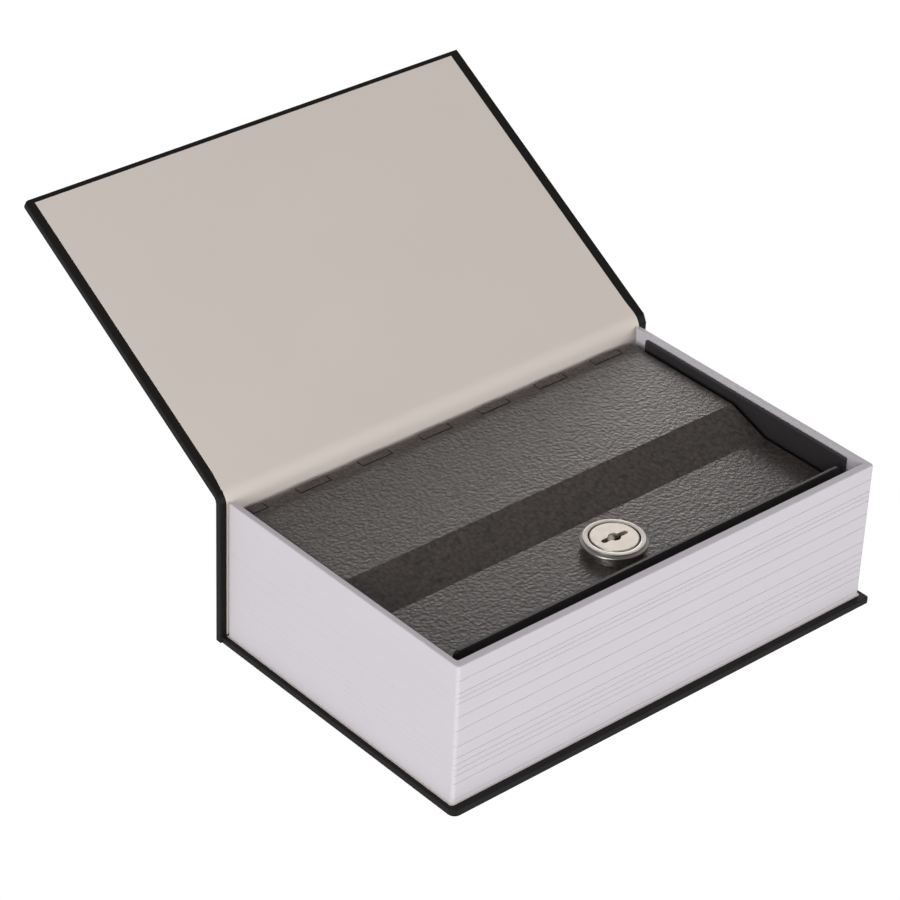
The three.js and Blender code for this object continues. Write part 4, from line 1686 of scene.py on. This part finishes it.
@dataclass
class CamLock:
    """The cam lock in the lid's front plateau; heights count from the plateau.

    Attributes:
        shop: workshop that makes its pieces.
        bore: radius of the ring's bore.
        rim: outer radius of the ring.
        shoulder: radius at which the ring's flat top ends.
        top: height of the ring's top.
        foot_ease: (inward, up) steps from the sharp edge of the ring's foot that ease it.
        side_ease: (inward, down) steps from the rim and the top's height where its outer side ends.
        shoulder_ease: (outward, down) steps from the shoulder's sharp edge that ease it.
        bore_ease: (outward, down) steps from the bore's sharp upper edge that ease it.
        neck: radius of the housing's neck under the ring.
        neck_height: height of the neck.
        head: radius of the plug's head.
        head_rise: how far the head stands above the ring.
        head_lift: room under the head.
        head_lap: how far the plug's lower part reaches into the head.
        head_ease: (inward, down) steps from the head's sharp edge that round it.
        plug: radius of the plug.
        barrel: radius of the housing's thread.
        fit: room round the plug.
        thread_pitch: pitch of the thread.
        thread_depth: depth of the thread.
        thread_start: height of the first turn above the housing's tail.
        thread_clear: plain length of the barrel below the plateau.
        slot_length: length of the key slot.
        slot_arm: width of its arms.
        slot_shift: how far the right arm is set to the rear and the left arm to the front.
        slot_tip: share of an arm's width that rounds each corner of its tip.
        slot_middle: radius of its round middle.
        slot_depth: depth of the middle below the plateau.
        ward: radius of the ward.
        ward_place: (x, y) of the ward from the plug's axis.
        ward_drop: how far the ward stays below the ring's top.
        ward_depth: depth of the ward below the plateau.
        ward_ease: rounding of the ward's top.
        wafer_half: half of the width of the grooves for the wafers.
        wafer_reach: how far the grooves reach from the plug's axis.
        wafer_foot: height of the grooves' foot above the housing's tail.
        wafer_top: height of the grooves' upper end.
        wafers: number of wafers, each with its spring.
    """

    shop: Workshop
    bore: float = 8.15
    rim: float = 10.8
    shoulder: float = 9.85
    top: float = 3.7
    foot_ease: tuple[tuple[float, float], ...] = ((0.7, 0.0), (0.12, 0.525), (0.0, 0.7))
    side_ease: tuple[tuple[float, float], ...] = ((0.0, 1.0), (0.1, 0.82))
    shoulder_ease: tuple[tuple[float, float], ...] = ((0.15, 0.4), (0.12, 0.15), (0.0, 0.03), (-0.15, 0.0))
    bore_ease: tuple[tuple[float, float], ...] = ((0.3, 0.0), (0.08, 0.08), (0.0, 0.3))
    neck: float = 8.8
    neck_height: float = 1.5
    head: float = 7.75
    head_rise: float = 0.1
    head_lift: float = 0.3
    head_lap: float = 0.1
    head_ease: tuple[tuple[float, float], ...] = ((0.0, 0.3), (0.1, 0.1), (0.35, 0.0))
    plug: float = 5.4
    barrel: float = 8.0
    fit: float = 0.3
    thread_pitch: float = 1.0
    thread_depth: float = 0.45
    thread_start: float = 0.4
    thread_clear: float = 2.0
    slot_length: float = 10.2
    slot_arm: float = 1.8
    slot_shift: float = -0.2
    slot_tip: float = 0.45
    slot_middle: float = 2.05
    slot_depth: float = 3.0
    ward: float = 1.35
    ward_place: tuple[float, float] = (-0.35, 1.35)
    ward_drop: float = 0.85
    ward_depth: float = 2.0
    ward_ease: float = 0.35
    wafer_half: float = 2.6
    wafer_reach: float = 6.5
    wafer_foot: float = 0.5
    wafer_top: float = -1.4
    wafers: int = 4

    def __post_init__(self) -> None:
        """Reads the lock's places from the construction model."""
        self.foot = pivot("plug_turn")
        self.tail = span("lock_housing")[0].z - self.foot.z

    def build(self) -> None:
        """Builds and dresses the whole lock."""
        self.bezel()
        self.housing()
        self.plug_piece()
        self.ward_piece()
        nodes = ["lock_nut", "lock_washer", "lock_cam", "cam_washer", "cam_screw"]
        nodes += [f"{kind}_{i + 1}" for kind in ("wafer", "wafer_spring") for i in range(self.wafers)]
        for node in nodes:
            self.shop.dress(node)

    def bezel(self) -> None:
        """Builds the stepped chrome ring."""
        profile = [
            (self.bore, self.neck_height),
            *((self.rim - inward, self.neck_height + up) for inward, up in self.foot_ease),
            *((self.rim - inward, self.top - down) for inward, down in self.side_ease),
            *((self.shoulder + outward, self.top - down) for outward, down in self.shoulder_ease),
            *((self.bore + outward, self.top - down) for outward, down in self.bore_ease),
        ]
        made = self.shop.piece("bezel_ring", turned(profile, self.foot), Slot.CHROME_RING, ["lock_bezel"])
        self.shop.even_out(made)
        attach(made, Body.LID.value)

    def housing(self) -> None:
        """Builds the threaded barrel with its neck and the grooves for the wafers."""
        inner = self.plug + self.fit
        profile = [(inner, self.tail), (self.barrel - self.thread_depth, self.tail)]
        turns = math.floor((-self.tail - self.thread_clear) / self.thread_pitch)
        for i in range(turns):
            low = self.tail + self.thread_start + i * self.thread_pitch
            profile += [(self.barrel - self.thread_depth, low), (self.barrel, low + self.thread_pitch / 2)]
        profile += [
            (self.barrel, 0),
            (self.neck, 0),
            (self.neck, self.neck_height),
            (inner, self.neck_height),
        ]
        body = turned(profile, self.foot)
        half, reach = self.wafer_half, self.wafer_reach
        low, high = self.tail + self.wafer_foot, self.wafer_top
        side = cuboid(self.foot + Vector((-reach, -half, low)), self.foot + Vector((0, half, high)))
        rear = cuboid(self.foot + Vector((-half, 0, low)), self.foot + Vector((half, reach, high)))
        body = worked(body, [side, rear])
        made = self.shop.piece("lock_barrel", body, Slot.CHROME_RING, ["lock_housing"])
        self.shop.even_out(made)
        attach(made, Body.LID.value)

    def plug_piece(self) -> None:
        """Builds the plug: its face with the key slot on the construction model's lower part."""
        seat = self.neck_height + self.fit + self.head_lift
        wide = 2 * self.head
        above = cuboid(
            self.foot + Vector((-wide, -wide, seat + self.head_lap)), self.foot + Vector((wide, wide, wide))
        )
        lower = worked(merged_copy("lock_plug"), [above])
        top = self.top + self.head_rise
        profile = [
            (0, seat),
            (self.head, seat),
            *((self.head - inward, top - down) for inward, down in self.head_ease),
            (0, top),
        ]
        face = turned(profile, self.foot)
        body = worked(face, [lower], Cut.JOIN)
        body = worked(body, self.key_slot())
        made = self.shop.piece("plug_with_face", body, Slot.SATIN_FACE, ["lock_plug"], crease=15)
        self.shop.even_out(made)
        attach(made, Body.PLUG.value)

    def key_slot(self) -> list[BMesh]:
        """Gives the tools that cut the key slot: two arms in the head and a round, deep middle.

        Returns:
            The closed solids.
        """
        arm = self.slot_length / 2
        low, high = self.neck_height + self.fit, self.top + 2 * OVER
        foot = self.foot
        tools = []
        for side in (-1, 1):
            near, far = sorted((0.0, side * arm))
            y0, y1 = (side * self.slot_shift + half * self.slot_arm / 2 for half in (-1, 1))
            bar = cuboid(foot + Vector((near, y0, low)), foot + Vector((far, y1, high)))
            tip = far if side > 0 else near
            soften(
                bar,
                lambda e, x=foot.x + tip: runs_along(e, 2) and both(e, lambda p: abs(p.x - x) < NEAR),
                self.slot_arm * self.slot_tip,
                segments=4,
            )
            tools.append(bar)
        deep = foot.z - self.slot_depth
        return [*tools, round_bar(self.slot_middle, deep, foot.z + high, (foot.x, foot.y), sides=40)]

    def ward_piece(self) -> None:
        """Builds the small ward that shows in the slot's wide middle."""
        at = (self.foot.x + self.ward_place[0], self.foot.y + self.ward_place[1])
        low, high = self.foot.z - self.ward_depth, self.foot.z + self.top - self.ward_drop
        bar = round_bar(self.ward, low, high, at, sides=32)

        def at_top(edge: BMEdge) -> bool:
            """Says whether an edge lies round the ward's top."""
            return is_sharp(edge) and both(edge, lambda p: p.z > high - NEAR)

        soften(bar, at_top, self.ward_ease, segments=4)
        made = self.shop.piece("keyway_ward", bar, Slot.SATIN_FACE, [])
        self.shop.even_out(made)
        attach(made, Body.PLUG.value)


# Camera, floor and lights


@dataclass(frozen=True)
class Lamp:
    """A square soft light that faces the book.

    Attributes:
        name: its name.
        place: its middle, in millimetres.
        size: length of its sides, in millimetres.
        power: its power in watts.
        colour: colour of its light.
    """

    name: str
    place: tuple[float, float, float]
    size: float
    power: float
    colour: tuple[float, float, float] = (1.0, 1.0, 1.0)

    def hang(self) -> None:
        """Hangs the light in the scene."""
        data = bpy.data.lights.new(self.name, "AREA")
        data.shape = "SQUARE"
        data.size = self.size * MM
        data.energy = self.power
        data.color = self.colour
        light = bpy.data.objects.new(self.name, data)
        light.location = Vector(self.place) * MM
        light.rotation_mode = "QUATERNION"
        light.rotation_quaternion = (-Vector(self.place)).to_track_quat("-Z", "Y")
        bpy.context.scene.collection.objects.link(light)


@dataclass
class Studio:
    """A pale floor, soft lights and the camera at the photograph's viewing angle.

    Attributes:
        eye: place of the camera, in millimetres.
        azimuth: angle in degrees from which it looks, round the object.
        elevation: angle in degrees from which it looks, above the floor.
        roll: tilt of its picture, in degrees.
        lens: its focal length.
        sensor: width of its sensor.
        clip: nearest and farthest distance that it sees, in metres.
        floor_half: half of the floor's width, in metres.
        floor_drop: how far the floor lies under the book, in metres.
        floor_glow: brightness of the floor in the picture.
        floor_bounce: brightness of the floor as the object sees it.
        wall_glow: brightness of the room at the height of the book.
        ceiling_glow: brightness of the room overhead.
        lamps: the soft lights.
    """

    eye: tuple[float, float, float] = (-612.63, -626.51, 629.24)
    azimuth: float = -42.159
    elevation: float = 32.867
    roll: float = 2.43
    lens: float = 134.94
    sensor: float = 36.0
    clip: tuple[float, float] = (0.05, 50.0)
    floor_half: float = 4.0
    floor_drop: float = 0.0002
    floor_glow: float = 1.02
    floor_bounce: float = 0.7
    wall_glow: float = 0.5
    ceiling_glow: float = 0.12
    lamps: tuple[Lamp, ...] = (
        Lamp("back_panel", (930, 1190, 400), 800, 9.2, (1.0, 0.94, 0.92)),
        Lamp("top_lamp", (250, 400, 1700), 400, 1.2),
        Lamp("left_softbox", (-1700, -700, 500), 1200, 30.0),
        Lamp("front_softbox", (600, -1860, 400), 1200, 22.0),
    )

    def build(self) -> None:
        """Builds the whole studio."""
        self.camera()
        self.floor()
        self.world()
        for lamp in self.lamps:
            lamp.hang()
        bpy.context.scene.view_settings.view_transform = "Standard"

    def camera(self) -> None:
        """Places the camera."""
        turn, rise, roll = (math.radians(a) for a in (self.azimuth, self.elevation, self.roll))
        back = Vector((math.sin(turn) * math.cos(rise), -math.cos(turn) * math.cos(rise), math.sin(rise)))
        right = Vector((0, 0, 1)).cross(back).normalized()
        up = back.cross(right)
        rolled_right = right * math.cos(roll) + up * math.sin(roll)
        rolled_up = up * math.cos(roll) - right * math.sin(roll)
        data = bpy.data.cameras.new("photo_camera")
        data.lens = self.lens
        data.sensor_width = self.sensor
        data.clip_start, data.clip_end = self.clip
        camera = bpy.data.objects.new("photo_camera", data)
        turned_axes = Matrix((rolled_right, rolled_up, back)).transposed().to_4x4()
        camera.matrix_world = Matrix.Translation(Vector(self.eye) * MM) @ turned_axes
        bpy.context.scene.collection.objects.link(camera)
        bpy.context.scene.camera = camera

    def floor(self) -> None:
        """Lays the glowing white floor, which gives the photograph's empty background."""
        shape = bmesh.new()
        bmesh.ops.create_grid(
            shape,
            x_segments=1,
            y_segments=1,
            size=self.floor_half,
            matrix=Matrix.Translation((0, 0, -self.floor_drop)),
        )
        mesh = bpy.data.meshes.new("floor")
        shape.to_mesh(mesh)
        shape.free()
        glow = bpy.data.materials.new("white_floor")
        glow.use_nodes = True
        glow.node_tree.nodes.clear()
        sheet = NodeSheet(glow.node_tree)
        seen = sheet.add("ShaderNodeLightPath").outputs["Is Camera Ray"]
        strength = sheet.spread(seen, self.floor_bounce, self.floor_glow)
        light = sheet.add("ShaderNodeEmission", {"Strength": strength})
        sheet.add("ShaderNodeOutputMaterial", {"Surface": light.outputs["Emission"]})
        mesh.materials.append(glow)
        floor = bpy.data.objects.new("floor", mesh)
        bpy.context.scene.collection.objects.link(floor)

    def world(self) -> None:
        """Sets the light of the room, whose walls are brighter than its ceiling."""
        world = bpy.data.worlds.new("room")
        world.use_nodes = True
        sheet = NodeSheet(world.node_tree)
        place = sheet.add("ShaderNodeTexCoord")
        height = sheet.add("ShaderNodeSeparateXYZ", {"Vector": place.outputs["Generated"]}).outputs["Z"]
        strength = sheet.spread(height, self.wall_glow, self.ceiling_glow)
        background = world.node_tree.nodes["Background"]
        world.node_tree.links.new(strength, background.inputs["Strength"])
        background.inputs["Color"].default_value = (1, 1, 1, 1)
        bpy.context.scene.world = world


def main() -> None:
    """Builds the book safe and its studio."""
    shop, row = Workshop(), HingeRow()
    for assembly in (Case(shop), PageTray(shop), SteelBox(shop, row), SteelLid(shop, row), CamLock(shop)):
        assembly.build()
        LOG.info("%s is built", type(assembly).__name__)
    Studio().build()


if __name__ == "__main__":
    logging.basicConfig(level=logging.INFO, format="%(message)s")
    main()
